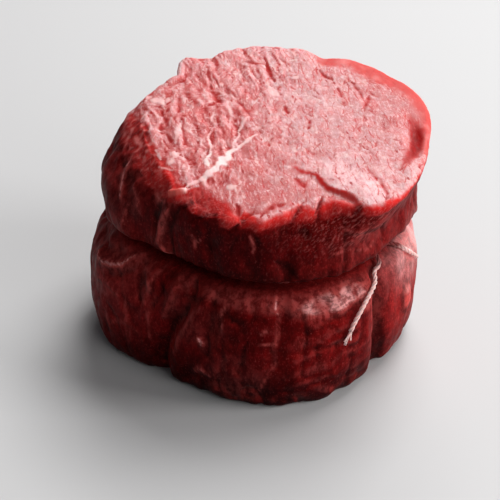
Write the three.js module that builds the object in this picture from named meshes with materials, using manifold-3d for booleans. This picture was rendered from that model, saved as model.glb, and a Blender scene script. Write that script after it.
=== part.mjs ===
// A thick centre-cut piece of raw beef tenderloin, stood on one cut face and tied round its waist with
// butcher's twine. Millimetres, +Z up. The twine squeezes the meat into two bulging tiers: the lower one
// stands on its flat cut face, the upper one leans a little to the front and right and ends in the
// rough upper cut face. The side is worked out as rings stacked from the foot to the rim.
import * as THREE from "three";
import { mergeVertices } from "three/addons/utils/BufferGeometryUtils.js";
import Module from "manifold-3d";

const wasm = await Module();
wasm.setup();

const DEG = Math.PI / 180;
const HEIGHT = 59.6; // of the rim at the middle of the piece, before the lean
const WAIST_HEIGHT = 35.4; // where the twine runs
const LEAN_Y = 0.105; // rise of the upper tier towards the back, per mm
const LEAN_X = -0.02; // rise of the upper tier towards the right, per mm
const CROWN = 0.9; // how far the upper cut face swells over its rim
const TWINE_RADIUS = 0.6;
const TWINE_GAP = 0.4; // clear space between the twine and the meat

// Where the middle of the finished outline lies; the whole is moved by it onto the axis.
const OUTLINE_MIDDLE = { x: -1.115, y: -0.056 };

const MEAT_SECTORS = 108;
const SIDE_STEP = 2.4; // the most that two rings of vertices lie apart on the side
const FACE_RINGS = 15;
const FOOT_RINGS = 2;

// An outline seen from above: an ellipse with bulges and hollows, each [degrees, spread in degrees, mm].
const BODY_OUTLINE = {
  halfWidth: 40.6,
  halfDepth: 39.4,
  lobes: [
    [228, 20, -4.4], // the flat left of the front
    [203, 11, 1.7],
    [180, 18, 1.6],
    [285, 17, 1.2],
    [325, 12, -1.2],
    [130, 25, 1.6],
    [60, 20, -1.0],
  ],
};
const RIM_OUTLINE = {
  halfWidth: 37.6,
  halfDepth: 38.4,
  lobes: [
    [20, 12, 1.2],
    [48, 9, -0.9],
    [70, 8, -3.0],
    [88, 8, -1.0],
    [121, 4, -1.2],
    [131, 5, 2.9], // the back left corner and the notch behind it
    [144, 6, -1.8],
    [165, 10, 1.3],
    [207, 18, -1.9],
    [239, 5, 1.4],
    [275, 8, -5.0], // where the front of the rim is cut back
    [290, 7, -5.4],
    [309, 8, 1.4],
    [350, 14, -1.2],
  ],
};

// The rings of the side, foot to rim: height, middle in x and y, share of the rim's outline, offset.
const RINGS = [
  { z: 0, x: -1.2, y: 0, rim: 0, off: -3.6 },
  { z: 1.4, x: -1.4, y: 0, rim: 0, off: -1.0 },
  { z: 5, x: -1.5, y: 0, rim: 0, off: 0.6 },
  { z: 13, x: -1.4, y: 0, rim: 0, off: 1.6 },
  { z: 23, x: -1.2, y: 0, rim: 0, off: 1.3 },
  { z: WAIST_HEIGHT - 5.4, x: -0.6, y: 0, rim: 0, off: -0.6 },
  { z: WAIST_HEIGHT - 2, x: 0, y: 0, rim: 0, off: -4.4 },
  { z: WAIST_HEIGHT - 1.35, x: 0, y: 0, rim: 0, off: -6.8 },
  { z: WAIST_HEIGHT, x: 0, y: 0, rim: 0, off: -7.9 },
  { z: WAIST_HEIGHT + 1.35, x: 0, y: 0, rim: 0, off: -6.8 },
  { z: WAIST_HEIGHT + 1.9, x: 0.1, y: 0, rim: 0, off: -4.2 },
  { z: WAIST_HEIGHT + 3.9, x: 0.4, y: 0, rim: 0.05, off: -0.8 },
  { z: WAIST_HEIGHT + 11.1, x: 0.1, y: 0.2, rim: 0.2, off: -0.2 },
  { z: HEIGHT - 7.1, x: 2.4, y: 0.2, rim: 0.6, off: 0.7 },
  { z: HEIGHT - 1.6, x: 5.2, y: 0, rim: 1, off: 0.5 },
  { z: HEIGHT, x: 5.6, y: 0, rim: 1, off: -0.9 },
];
const WAIST_RING = 8;
const LAST_RING = RINGS.length - 1;

// Grooves on the side where bundles of muscle meet, each a line of [degrees, height] with its depth and
// half width in mm. A ridge has less than no depth.
const GROOVES = [
  { line: [[227, 0], [230, 12], [239, 24], [241, 34]], depth: 1.9, half: 2.0 }, // the lower tier's front left
  { line: [[234, 3], [237, 13], [244, 22], [248, 32]], depth: -0.9, half: 2.2 },
  { line: [[242, 4], [247, 14], [252, 25], [253, 35]], depth: 0.7, half: 1.6 },
  { line: [[270, 4], [275, 14], [277, 24], [278, 34]], depth: 0.6, half: 1.5 },
  { line: [[324, 0], [320, 13], [319, 24], [321, 35]], depth: 2.1, half: 1.8 }, // parts off the right lobe
  { line: [[187, 31], [197, 32], [204, 33]], depth: 1.1, half: 1.4 },
  { line: [[225, 56], [228, 47], [223, 38]], depth: -1.1, half: 1.6 }, // the strip of membrane
  { line: [[218, 57], [221, 47], [216, 39]], depth: 0.9, half: 1.8 },
  { line: [[245, 57], [248, 49], [251, 40]], depth: 1.1, half: 1.6 },
  { line: [[257, 57], [260, 48], [266, 41]], depth: 0.9, half: 1.6 },
  { line: [[281, 51], [278, 45], [277, 39]], depth: 1.0, half: 1.7 },
  { line: [[14, 3], [10, 20], [12, 34]], depth: 1.3, half: 1.8 },
  { line: [[62, 0], [66, 18], [72, 34]], depth: 1.5, half: 1.7 },
  { line: [[72, 60], [69, 48], [66, 38]], depth: 1.2, half: 1.8 },
  { line: [[118, 2], [112, 20], [109, 33]], depth: 1.1, half: 1.9 },
  { line: [[141, 60], [135, 48], [131, 40]], depth: 1.1, half: 1.7 },
  { line: [[160, 0], [155, 20], [151, 33]], depth: 1.4, half: 1.6 },
];
const MM_PER_DEGREE = 0.7; // round the side

// Gathers that the twine draws in the meat above and below the waist, all the way round.
const GATHER_COUNT = 23;
const GATHER_DEPTH = 0.35;
const GATHER_REACH = 5;

// A low oval gland on the right lobe.
const GLAND = { angle: 338, z: 18.5, halfTurn: 3.2, halfHeight: 3.4, out: 1.2 };

// The upper cut face. One slab of it ends in a ledge that grows towards the front right, a pocket opens
// inside the right lip, and the face slumps to the rim in two places at the front.
const LEDGE_START = { x: 6, y: -15.5 };
const LEDGE_END = { x: 23.6, y: -31.8 };
const LEDGE_RISE = 1.7;
const LEDGE_FADE = 14; // over how many mm the slab falls back to the face
const POCKET = { x: 39.2, y: -2.8, halfWidth: 1.7, halfLength: 7, depth: 1.9 };
const SLUMPS = [
  { x: -11, y: -35, reach: 8, depth: 1.2 },
  { x: 25.8, y: -34, reach: 4, depth: 1.4 },
];
const LUMPS = [
  { across: 12.5, turn: 20, phase: 0.4, size: 0.36 },
  { across: 9.5, turn: 95, phase: 2.1, size: 0.3 },
  { across: 7.8, turn: 150, phase: 4.0, size: 0.22 },
];
const RIM_SHARE = 2.4; // how many rings down the side follow the face's ups and downs

const KNOT_ANGLE = 328;
const KNOT_RADIUS = 1.15;
// The twine's two loose ends: [degrees, place along the rings, lift in mm].
const LONG_END = [
  [KNOT_ANGLE, 8, 1.6],
  [325.5, 7.2, 1.35],
  [324.3, 5.95, 1.2],
  [323.7, 5.5, 1.15],
  [321, 5.25, 1.1],
  [316.3, 4.95, 1.0],
  [310, 4.6, 1.0],
  [304.5, 4.1, 1.0],
  [301.8, 3.75, 1.0],
];
const SHORT_END = [
  [KNOT_ANGLE, 8, 1.6],
  [332, 7.2, 1.35],
  [335.5, 6, 1.2],
  [338, 5.55, 1.1],
  [342, 4.95, 1.0],
  [347.5, 4.4, 0.9],
];
const FRAY_LENGTH = 3;
const FRAY_TURNS = [-28, 2, 26]; // degrees either side of the twine's own line

function turnBetween(a, b) {
  return ((((a - b + 180) % 360) + 360) % 360) - 180;
}

function bell(distance, spread) {
  return Math.exp(-0.5 * (distance / spread) ** 2);
}

function smoothStep(low, high, value) {
  const s = Math.min(1, Math.max(0, (value - low) / (high - low)));
  return s * s * (3 - 2 * s);
}

function outlineRadius(outline, angle) {
  const c = Math.cos(angle * DEG) / outline.halfWidth;
  const s = Math.sin(angle * DEG) / outline.halfDepth;
  let radius = 1 / Math.hypot(c, s);
  for (const [at, spread, out] of outline.lobes) radius += out * bell(turnBetween(angle, at), spread);
  return radius;
}

// The lean of the upper tier grows from none at the waist to all of it at the rim.
function lean(x, y, z) {
  const share = Math.min(1, Math.max(0, (z - WAIST_HEIGHT) / (HEIGHT - WAIST_HEIGHT)));
  return share * share * (LEAN_Y * y + LEAN_X * x);
}

function ringPoint(index, angle) {
  const ring = RINGS[Math.min(LAST_RING, Math.max(0, index))];
  const body = outlineRadius(BODY_OUTLINE, angle);
  const rim = outlineRadius(RIM_OUTLINE, angle);
  const radius = body + ring.rim * (rim - body) + ring.off;
  const x = ring.x + radius * Math.cos(angle * DEG);
  const y = ring.y + radius * Math.sin(angle * DEG);
  return new THREE.Vector3(x, y, ring.z + lean(x, y, ring.z));
}

function blend(before, a, b, after, u) {
  const slopeA = (b - before) / 2;
  const slopeB = (after - a) / 2;
  const u2 = u * u;
  const u3 = u2 * u;
  return (2 * u3 - 3 * u2 + 1) * a + (u3 - 2 * u2 + u) * slopeA + (3 * u2 - 2 * u3) * b + (u3 - u2) * slopeB;
}

// The plain side: place runs from 0 at the foot to LAST_RING at the rim.
function plainSide(angle, place) {
  const i = Math.min(LAST_RING - 1, Math.floor(place));
  const [p, a, b, n] = [i - 1, i, i + 1, i + 2].map((k) => ringPoint(k, angle));
  const u = place - i;
  return new THREE.Vector3(
    blend(p.x, a.x, b.x, n.x, u),
    blend(p.y, a.y, b.y, n.y, u),
    blend(p.z, a.z, b.z, n.z, u),
  );
}

// How far a point of the unrolled side lies from a line drawn on it, in mm.
function awayFrom(line, angle, z) {
  let least = Infinity;
  for (let i = 1; i < line.length; i++) {
    const ax = turnBetween(line[i - 1][0], angle) * MM_PER_DEGREE;
    const ay = line[i - 1][1] - z;
    const dx = (line[i][0] - line[i - 1][0]) * MM_PER_DEGREE;
    const dy = line[i][1] - line[i - 1][1];
    const u = Math.min(1, Math.max(0, -(ax * dx + ay * dy) / (dx * dx + dy * dy)));
    least = Math.min(least, Math.hypot(ax + u * dx, ay + u * dy));
  }
  return least;
}

// How far the muscle's grooves, the twine's gathers and the gland move the side out or in.
function sideRelief(angle, z) {
  let out = 0;
  const fromWaist = Math.abs(z - WAIST_HEIGHT);
  const clear = smoothStep(1.5, 5, fromWaist);
  for (const groove of GROOVES) out -= clear * groove.depth * bell(awayFrom(groove.line, angle, z), groove.half);
  const gathers = Math.sin(GATHER_COUNT * angle * DEG + 1.4 * Math.sin(5 * angle * DEG));
  out += GATHER_DEPTH * gathers * smoothStep(2, 4, fromWaist) * bell(fromWaist, GATHER_REACH);
  const glandTurn = turnBetween(angle, GLAND.angle);
  out += GLAND.out * bell(glandTurn, GLAND.halfTurn) * bell(z - GLAND.z, GLAND.halfHeight);
  return out;
}

// How far a place lies along the ledge's line, and how far to the back and right of it.
function fromLedge(x, y) {
  const length = Math.hypot(LEDGE_END.x - LEDGE_START.x, LEDGE_END.y - LEDGE_START.y);
  const ux = (LEDGE_END.x - LEDGE_START.x) / length;
  const uy = (LEDGE_END.y - LEDGE_START.y) / length;
  const far = (x - LEDGE_START.x) * ux + (y - LEDGE_START.y) * uy;
  const wave = 0.7 * Math.sin(far * 0.55);
  return { share: smoothStep(-2, length, far), off: (y - LEDGE_START.y) * ux - (x - LEDGE_START.x) * uy + wave };
}

// How much higher or lower than its plain dome the upper cut face lies.
function faceRelief(x, y) {
  const ledge = fromLedge(x, y);
  let rise = LEDGE_RISE * ledge.share * smoothStep(-0.9, 0.9, ledge.off) * (1 - smoothStep(0, LEDGE_FADE, ledge.off));
  rise -= POCKET.depth * bell(Math.hypot((x - POCKET.x) / POCKET.halfWidth, (y - POCKET.y) / POCKET.halfLength), 0.7);
  for (const slump of SLUMPS) rise -= slump.depth * bell(Math.hypot(x - slump.x, y - slump.y), slump.reach);
  for (const lump of LUMPS) {
    const along = x * Math.cos(lump.turn * DEG) + y * Math.sin(lump.turn * DEG);
    const across = y * Math.cos(lump.turn * DEG) - x * Math.sin(lump.turn * DEG);
    const wave = Math.sin((2 * Math.PI * along) / lump.across + lump.phase);
    rise += lump.size * wave * Math.cos((2 * Math.PI * across) / (1.3 * lump.across));
  }
  return rise;
}

function side(angle, place) {
  const point = plainSide(angle, place);
  const out = sideRelief(angle, point.z - lean(point.x, point.y, point.z));
  point.x += out * Math.cos(angle * DEG);
  point.y += out * Math.sin(angle * DEG);
  point.z += faceRelief(point.x, point.y) * smoothStep(LAST_RING - RIM_SHARE, LAST_RING, place);
  return point;
}

// The upper cut face: share runs from 1 at the rim to 0 at the middle.
function face(angle, share) {
  const rim = side(angle, LAST_RING);
  const top = RINGS[LAST_RING];
  const x = top.x + share * (rim.x - top.x);
  const y = top.y + share * (rim.y - top.y);
  const z = HEIGHT + lean(x, y, HEIGHT) + CROWN * (1 - share ** 6) + faceRelief(x, y);
  return new THREE.Vector3(x, y, z);
}

function foot(angle, share) {
  const edge = side(angle, 0);
  const ring = RINGS[0];
  return new THREE.Vector3(ring.x + share * (edge.x - ring.x), ring.y + share * (edge.y - ring.y), 0);
}

// The places of the side's rings of vertices, foot to rim.
function sidePlaces() {
  const places = [];
  for (let i = 0; i < LAST_RING; i++) {
    const steps = Math.ceil(ringPoint(i, 270).distanceTo(ringPoint(i + 1, 270)) / SIDE_STEP);
    for (let k = 0; k < steps; k++) places.push(i + k / steps);
  }
  return [...places, LAST_RING];
}

// A lathe gives the rings of vertices and the faces between them: its profile climbs one unit a ring.
// Each vertex is then moved to its place on the meat.
function meatGeometry() {
  const walk = [];
  for (let i = 0; i < FOOT_RINGS; i++) walk.push((angle) => foot(angle, i / FOOT_RINGS));
  for (const place of sidePlaces()) walk.push((angle) => side(angle, place));
  for (let i = 1; i <= FACE_RINGS; i++) walk.push((angle) => face(angle, 1 - i / FACE_RINGS));
  const profile = walk.map((_, i) => new THREE.Vector2(i === 0 || i === walk.length - 1 ? 0 : 1, i));
  const geometry = new THREE.LatheGeometry(profile, MEAT_SECTORS);
  const position = geometry.attributes.position;
  for (let sector = 0; sector <= MEAT_SECTORS; sector++) {
    const angle = (360 * (sector % MEAT_SECTORS)) / MEAT_SECTORS;
    walk.forEach((place, i) => {
      const point = place(angle);
      position.setXYZ(sector * walk.length + i, point.x, point.y, point.z);
    });
  }
  geometry.computeVertexNormals();
  return geometry;
}

function solidOf(geometry) {
  const bare = geometry.index ? geometry.toNonIndexed() : geometry.clone();
  bare.deleteAttribute("normal");
  bare.deleteAttribute("uv");
  const merged = mergeVertices(bare, 1e-4);
  const mesh = new wasm.Mesh({
    numProp: 3,
    vertProperties: new Float32Array(merged.attributes.position.array),
    triVerts: new Uint32Array(merged.index.array),
  });
  return new wasm.Manifold(mesh);
}

function geometryOf(solid) {
  const mesh = solid.getMesh();
  const geometry = new THREE.BufferGeometry();
  geometry.setAttribute("position", new THREE.BufferAttribute(mesh.vertProperties, 3));
  geometry.setIndex(new THREE.BufferAttribute(mesh.triVerts, 1));
  geometry.computeVertexNormals();
  return geometry;
}

// A point over the meat's side, lifted square off it.
function overSide(angle, place, lift) {
  const here = side(angle, place);
  const up = side(angle, Math.min(LAST_RING, place + 0.05)).sub(side(angle, Math.max(0, place - 0.05)));
  const round = side(angle + 0.5, place).sub(side(angle - 0.5, place));
  return here.addScaledVector(round.cross(up).normalize(), lift);
}

function twineTube(points, steps) {
  const section = new THREE.Shape();
  section.absarc(0, 0, TWINE_RADIUS, 0, 2 * Math.PI, false);
  const path = new THREE.CatmullRomCurve3(points, false, "centripetal");
  return new THREE.ExtrudeGeometry(section, { steps, curveSegments: 4, bevelEnabled: false, extrudePath: path });
}

function bandPoint(angle) {
  return overSide(angle, WAIST_RING, TWINE_RADIUS + TWINE_GAP);
}

// Half of the band that lies at the bottom of the crease.
function halfBand(start) {
  const points = [];
  for (let turn = -1; turn <= 181; turn += 6.5) points.push(bandPoint(start + turn));
  return twineTube(points, 28);
}

function knot() {
  const lump = new THREE.SphereGeometry(1, 10, 7);
  lump.scale(KNOT_RADIUS, 1.8, 1.25);
  lump.rotateZ(KNOT_ANGLE * DEG);
  const at = overSide(KNOT_ANGLE, WAIST_RING, KNOT_RADIUS + 1.5 * TWINE_GAP);
  lump.translate(at.x, at.y, at.z);
  return lump;
}

// The strands at a cut end spread like a small brush.
function frayedStrands(tip, heading) {
  return FRAY_TURNS.map((turn) => {
    const strand = new THREE.CylinderGeometry(0.26, 0.36, FRAY_LENGTH, 5);
    strand.translate(0, FRAY_LENGTH / 2 - 0.5, 0);
    const outward = new THREE.Vector3(tip.x, tip.y, 0).normalize();
    const way = heading.clone().applyAxisAngle(outward, turn * DEG);
    strand.applyQuaternion(new THREE.Quaternion().setFromUnitVectors(new THREE.Vector3(0, 1, 0), way));
    strand.translate(tip.x, tip.y, tip.z);
    return strand;
  });
}

function twineGeometry() {
  const longEnd = LONG_END.map((row) => overSide(...row));
  const shortEnd = SHORT_END.map((row) => overSide(...row));
  const tip = longEnd[longEnd.length - 1];
  const heading = tip.clone().sub(longEnd[longEnd.length - 2]).normalize();
  const pieces = [
    halfBand(KNOT_ANGLE),
    halfBand(KNOT_ANGLE + 180),
    knot(),
    twineTube(longEnd, 20),
    twineTube(shortEnd, 14),
    ...frayedStrands(tip, heading),
  ];
  return geometryOf(pieces.map(solidOf).reduce((whole, piece) => whole.add(piece)));
}

function named(name, geometry, color, roughness) {
  const mesh = new THREE.Mesh(geometry, new THREE.MeshStandardMaterial({ color, roughness, metalness: 0 }));
  mesh.name = name;
  return mesh;
}

const group = new THREE.Group();
group.add(named("tenderloin", meatGeometry(), 0x9a2a2c, 0.35));
group.add(named("twine", twineGeometry(), 0xe9c4bb, 0.8));
group.position.set(-OUTLINE_MIDDLE.x, -OUTLINE_MIDDLE.y, 0);

export default group;
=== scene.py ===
# %% [markdown]
# # A tied cut of beef tenderloin
# This lesson dresses a thick centre cut of raw beef. It stands on one cut face, and butcher's twine
# squeezes its waist, so that it bulges in two tiers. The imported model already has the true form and
# size. Here the same form is made again with many more faces, so that the bundles of muscle, the fat
# and the folds of silverskin can be real relief, and then it gets its wet red finish.
#
# Each code cell can be run on its own after the ones above it, and prints what it made.

# %% The frame
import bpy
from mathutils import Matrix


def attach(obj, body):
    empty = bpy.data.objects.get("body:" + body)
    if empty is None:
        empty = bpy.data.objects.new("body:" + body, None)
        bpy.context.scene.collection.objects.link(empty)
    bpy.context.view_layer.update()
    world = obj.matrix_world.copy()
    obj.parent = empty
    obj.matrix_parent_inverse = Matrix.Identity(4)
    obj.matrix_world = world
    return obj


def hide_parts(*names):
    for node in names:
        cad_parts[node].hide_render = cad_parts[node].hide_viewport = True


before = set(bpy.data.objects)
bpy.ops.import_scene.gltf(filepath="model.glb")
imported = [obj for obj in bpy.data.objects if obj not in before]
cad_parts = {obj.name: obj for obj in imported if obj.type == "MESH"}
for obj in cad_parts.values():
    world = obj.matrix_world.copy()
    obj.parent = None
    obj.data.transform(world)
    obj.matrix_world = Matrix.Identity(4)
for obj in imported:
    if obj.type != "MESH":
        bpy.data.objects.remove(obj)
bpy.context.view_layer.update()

# %% The libraries and the unit
import math

import bmesh
import bpy
import numpy as np
from mathutils import Vector, noise

MM = 0.001  # the lesson works in millimetres, and a finished mesh is in metres
scene = bpy.context.scene

# %% [markdown]
# ## The camera
# The photograph looks down on the meat at about 34 degrees, through a long lens. The camera is made
# first, because everything after it is judged through it. Its lens is worked out from how many pixels
# one millimetre takes at the meat's middle, and the whole camera is moved a little sideways and down,
# which frames the meat as in the photograph without any lens shift.

# %% The camera
ELEVATION = math.radians(34)
CAMERA_DISTANCE = 480 * MM
PIXELS_PER_MM = 3.82
IMAGE_WIDTH = 500
LOOK_AT = Vector((1.1, 0.1, 30.0)) * MM
FRAME_LEFT = 3.1 * MM
FRAME_DOWN = 6.5 * MM

camera_data = bpy.data.cameras.new("camera")
camera_data.sensor_width = 36
camera_data.lens = camera_data.sensor_width * PIXELS_PER_MM * (CAMERA_DISTANCE / MM) / IMAGE_WIDTH
camera = bpy.data.objects.new("camera", camera_data)
scene.collection.objects.link(camera)
toward_camera = Vector((0, -math.cos(ELEVATION), math.sin(ELEVATION)))
image_up = Vector((0, math.sin(ELEVATION), math.cos(ELEVATION)))
camera.location = LOOK_AT + toward_camera * CAMERA_DISTANCE
camera.location -= image_up * FRAME_DOWN + Vector((FRAME_LEFT, 0, 0))
camera.rotation_euler = (math.pi / 2 - ELEVATION, 0, 0)
scene.camera = camera
print("lens of", round(camera_data.lens, 1), "mm")

# %% [markdown]
# ## The form of the meat
# The form is a stack of rings from the foot to the rim of the upper cut face. Each ring is an ellipse
# with bulges and hollows. A ring takes a share of two outlines: that of the body, and that of the rim.
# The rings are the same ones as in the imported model, so the dressed meat keeps its form, and the
# small helpers below work on whole arrays of places at once.

# %% Helpers for soft shapes
def turn_between(turn, other):
    return (turn - other + 180) % 360 - 180


def bell(distance, spread):
    return np.exp(-0.5 * (distance / spread) ** 2)


def smooth_step(low, high, value):
    share = np.clip((value - low) / (high - low), 0, 1)
    return share * share * (3 - 2 * share)


# %% The two outlines
BODY_OUTLINE = (40.6, 39.4, [
    (228, 20, -4.4), (203, 11, 1.7), (180, 18, 1.6), (285, 17, 1.2), (325, 12, -1.2),
    (130, 25, 1.6), (60, 20, -1.0),
])
RIM_OUTLINE = (37.6, 38.4, [
    (20, 12, 1.2), (48, 9, -0.9), (70, 8, -3.0), (88, 8, -1.0), (121, 4, -1.2), (131, 5, 2.9),
    (144, 6, -1.8), (165, 10, 1.3), (207, 18, -1.9), (239, 5, 1.4), (275, 8, -5.0), (290, 7, -5.4),
    (309, 8, 1.4), (350, 14, -1.2),
])


def outline_radius(outline, turn):
    half_width, half_depth, lobes = outline
    bend = np.radians(turn)
    radius = 1 / np.hypot(np.cos(bend) / half_width, np.sin(bend) / half_depth)
    for at, spread, out in lobes:
        radius = radius + out * bell(turn_between(turn, at), spread)
    return radius


print("body", outline_radius(BODY_OUTLINE, np.array([0, 90, 180, 270])).round(1), "mm from the middle")

# %% The rings
RIM_HEIGHT = 59.6
WAIST = 35.4  # the height where the twine runs
LEAN_BACK = 0.105
LEAN_RIGHT = -0.02

# Height, middle in x and y, share of the rim's outline, and how far out.
RINGS = np.array([
    (0, -1.2, 0, 0, -3.6),
    (1.4, -1.4, 0, 0, -1.0),
    (5, -1.5, 0, 0, 0.6),
    (13, -1.4, 0, 0, 1.6),
    (23, -1.2, 0, 0, 1.3),
    (WAIST - 5.4, -0.6, 0, 0, -0.6),
    (WAIST - 2, 0, 0, 0, -4.4),
    (WAIST - 1.35, 0, 0, 0, -6.8),
    (WAIST, 0, 0, 0, -7.9),
    (WAIST + 1.35, 0, 0, 0, -6.8),
    (WAIST + 1.9, 0.1, 0, 0, -4.2),
    (WAIST + 3.9, 0.4, 0, 0.05, -0.8),
    (WAIST + 11.1, 0.1, 0.2, 0.2, -0.2),
    (RIM_HEIGHT - 7.1, 2.4, 0.2, 0.6, 0.7),
    (RIM_HEIGHT - 1.6, 5.2, 0, 1, 0.5),
    (RIM_HEIGHT, 5.6, 0, 1, -0.9),
])
WAIST_RING = 8
LAST_RING = len(RINGS) - 1


def lean(x, y, z):
    share = np.clip((z - WAIST) / (RIM_HEIGHT - WAIST), 0, 1)
    return share * share * (LEAN_BACK * y + LEAN_RIGHT * x)


def ring_point(index, turn):
    height, middle_x, middle_y, rim_share, out = RINGS[np.clip(index, 0, LAST_RING)].T
    body = outline_radius(BODY_OUTLINE, turn)
    radius = body + rim_share * (outline_radius(RIM_OUTLINE, turn) - body) + out
    x = middle_x + radius * np.cos(np.radians(turn))
    y = middle_y + radius * np.sin(np.radians(turn))
    return np.stack([x, y, height + lean(x, y, height)], axis=-1)


# %% Between the rings
def plain_side(turn, place):
    """The side without its relief: place runs from 0 at the foot to LAST_RING at the rim."""
    index = np.minimum(np.floor(place).astype(int), LAST_RING - 1)
    before, low, high, after = (ring_point(index + step, turn) for step in (-1, 0, 1, 2))
    u = (place - index)[:, None]
    slope_low, slope_high = (high - before) / 2, (after - low) / 2
    rise = 3 * u**2 - 2 * u**3
    return (1 - rise) * low + (u**3 - 2 * u**2 + u) * slope_low + rise * high + (u**3 - u**2) * slope_high


# %% [markdown]
# ## Lines drawn on the meat
# Grooves, folds and seams of fat all follow lines. One helper measures how far each place lies from a
# line and how far along it that is. On the side the line is given in degrees round the meat and
# millimetres of height, and the side is unrolled at 0.7 mm to the degree.

# %% How far from a line
MM_PER_DEGREE = 0.7


def away_from(line, x, y):
    least, along = np.full(len(x), 1e9), np.zeros(len(x))
    for step, ((ax, ay), (bx, by)) in enumerate(zip(line, line[1:])):
        dx, dy = bx - ax, by - ay
        u = np.clip(((x - ax) * dx + (y - ay) * dy) / (dx * dx + dy * dy), 0, 1)
        distance = np.hypot(x - ax - u * dx, y - ay - u * dy)
        nearer = distance < least
        least = np.where(nearer, distance, least)
        along = np.where(nearer, (step + u) / (len(line) - 1), along)
    return least, along


def away_on_side(line, turn, height):
    start = line[0][0]
    unrolled = [((point_turn - start) * MM_PER_DEGREE, z) for point_turn, z in line]
    return away_from(unrolled, turn_between(turn, start) * MM_PER_DEGREE, height)


# %% The large grooves of the side
# Each is a line of degrees and height, then its depth and half width. A ridge has less than no depth.
GROOVES = [
    ([(227, 0), (230, 12), (239, 24), (241, 34)], 1.9, 2.0),
    ([(234, 3), (237, 13), (244, 22), (248, 32)], -0.9, 2.2),
    ([(242, 4), (247, 14), (252, 25), (253, 35)], 0.7, 1.6),
    ([(270, 4), (275, 14), (277, 24), (278, 34)], 0.6, 1.5),
    ([(324, 0), (320, 13), (319, 24), (321, 35)], 2.1, 1.8),
    ([(187, 31), (197, 32), (204, 33)], 1.1, 1.4),
    ([(225, 56), (228, 47), (223, 38)], -1.1, 1.6),
    ([(218, 57), (221, 47), (216, 39)], 0.9, 1.8),
    ([(245, 57), (248, 49), (251, 40)], 1.1, 1.6),
    ([(257, 57), (260, 48), (266, 41)], 0.9, 1.6),
    ([(281, 51), (278, 45), (277, 39)], 1.0, 1.7),
    ([(14, 3), (10, 20), (12, 34)], 1.3, 1.8),
    ([(62, 0), (66, 18), (72, 34)], 1.5, 1.7),
    ([(72, 60), (69, 48), (66, 38)], 1.2, 1.8),
    ([(118, 2), (112, 20), (109, 33)], 1.1, 1.9),
    ([(141, 60), (135, 48), (131, 40)], 1.1, 1.7),
    ([(160, 0), (155, 20), (151, 33)], 1.4, 1.6),
]
GATHER_COUNT, GATHER_DEPTH, GATHER_REACH = 23, 0.35, 5
GLAND_TURN, GLAND_HEIGHT = 338, 18.5


def side_relief(turn, height):
    from_waist = np.abs(height - WAIST)
    out = np.zeros(len(turn))
    for line, depth, half in GROOVES:
        out -= smooth_step(1.5, 5, from_waist) * depth * bell(away_on_side(line, turn, height)[0], half)
    gathers = np.sin(np.radians(GATHER_COUNT * turn) + 1.4 * np.sin(np.radians(5 * turn)))
    out += GATHER_DEPTH * gathers * smooth_step(2, 4, from_waist) * bell(from_waist, GATHER_REACH)
    return out + 1.2 * bell(turn_between(turn, GLAND_TURN), 3.2) * bell(height - GLAND_HEIGHT, 3.4)


# %% [markdown]
# ## The large forms of the upper cut face
# The knife left the face uneven. One slab of it stands higher and ends in a ledge towards the front
# right, a pocket opens just inside the right lip, the face slumps to the rim in two places, and the
# whole is a little lumpy.

# %% The ledge, the pocket and the slumps
LEDGE_START, LEDGE_END = (6, -15.5), (23.6, -31.8)
LEDGE_RISE, LEDGE_FADE = 1.3, 14
POCKET = (38.6, -3.6, 2.0, 8, 1.4)
SLUMPS = [(-11, -35, 8, 1.2), (25.8, -34, 4, 0.7)]
LUMPS = [(12.5, 20, 0.4, 0.12), (9.5, 95, 2.1, 0.1), (7.8, 150, 4.0, 0.08)]
RIM_REACH = 2.4  # how many rings down the side follow the face's ups and downs


def from_ledge(x, y):
    """How far a place is along the ledge as a share, and how far behind it, in mm."""
    length = math.dist(LEDGE_START, LEDGE_END)
    ux, uy = (LEDGE_END[0] - LEDGE_START[0]) / length, (LEDGE_END[1] - LEDGE_START[1]) / length
    dx, dy = x - LEDGE_START[0], y - LEDGE_START[1]
    far = dx * ux + dy * uy
    return smooth_step(-2, length, far), dy * ux - dx * uy + 0.7 * np.sin(far * 0.55)


def face_relief(x, y):
    along, behind = from_ledge(x, y)
    rise = LEDGE_RISE * along * smooth_step(-0.9, 0.9, behind) * (1 - smooth_step(0, LEDGE_FADE, behind))
    px, py, half_width, half_length, depth = POCKET
    rise -= depth * bell(np.hypot((x - px) / half_width, (y - py) / half_length), 0.7)
    for sx, sy, reach, depth in SLUMPS:
        rise -= depth * bell(np.hypot(x - sx, y - sy), reach)
    for wave, turn, phase, size in LUMPS:
        bend = math.radians(turn)
        along = x * math.cos(bend) + y * math.sin(bend)
        across = y * math.cos(bend) - x * math.sin(bend)
        rise += size * np.sin(2 * np.pi * along / wave + phase) * np.cos(2 * np.pi * across / (1.3 * wave))
    return rise


# %% Side, face and foot
CROWN = 0.9  # how far the upper cut face swells over its rim


def side(turn, place):
    point = plain_side(turn, place)
    x, y, z = point.T
    out = side_relief(turn, z - lean(x, y, z))
    point[:, 0] += out * np.cos(np.radians(turn))
    point[:, 1] += out * np.sin(np.radians(turn))
    near_rim = smooth_step(LAST_RING - RIM_REACH, LAST_RING, place)
    point[:, 2] += face_relief(point[:, 0], point[:, 1]) * near_rim
    return point


def face(turn, share):
    """The upper cut face: share runs from 1 at the rim to 0 at the middle."""
    middle = RINGS[LAST_RING, 1:3]
    x, y = (middle + share[:, None] * (side(turn, np.full(len(turn), float(LAST_RING)))[:, :2] - middle)).T
    z = RIM_HEIGHT + lean(x, y, RIM_HEIGHT) + CROWN * (1 - share**6) + face_relief(x, y)
    return np.stack([x, y, z], axis=-1)


def foot(turn, share):
    middle = RINGS[0, 1:3]
    x, y = (middle + share[:, None] * (side(turn, np.zeros(len(turn)))[:, :2] - middle)).T
    return np.stack([x, y, np.zeros(len(turn))], axis=-1)


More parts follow.
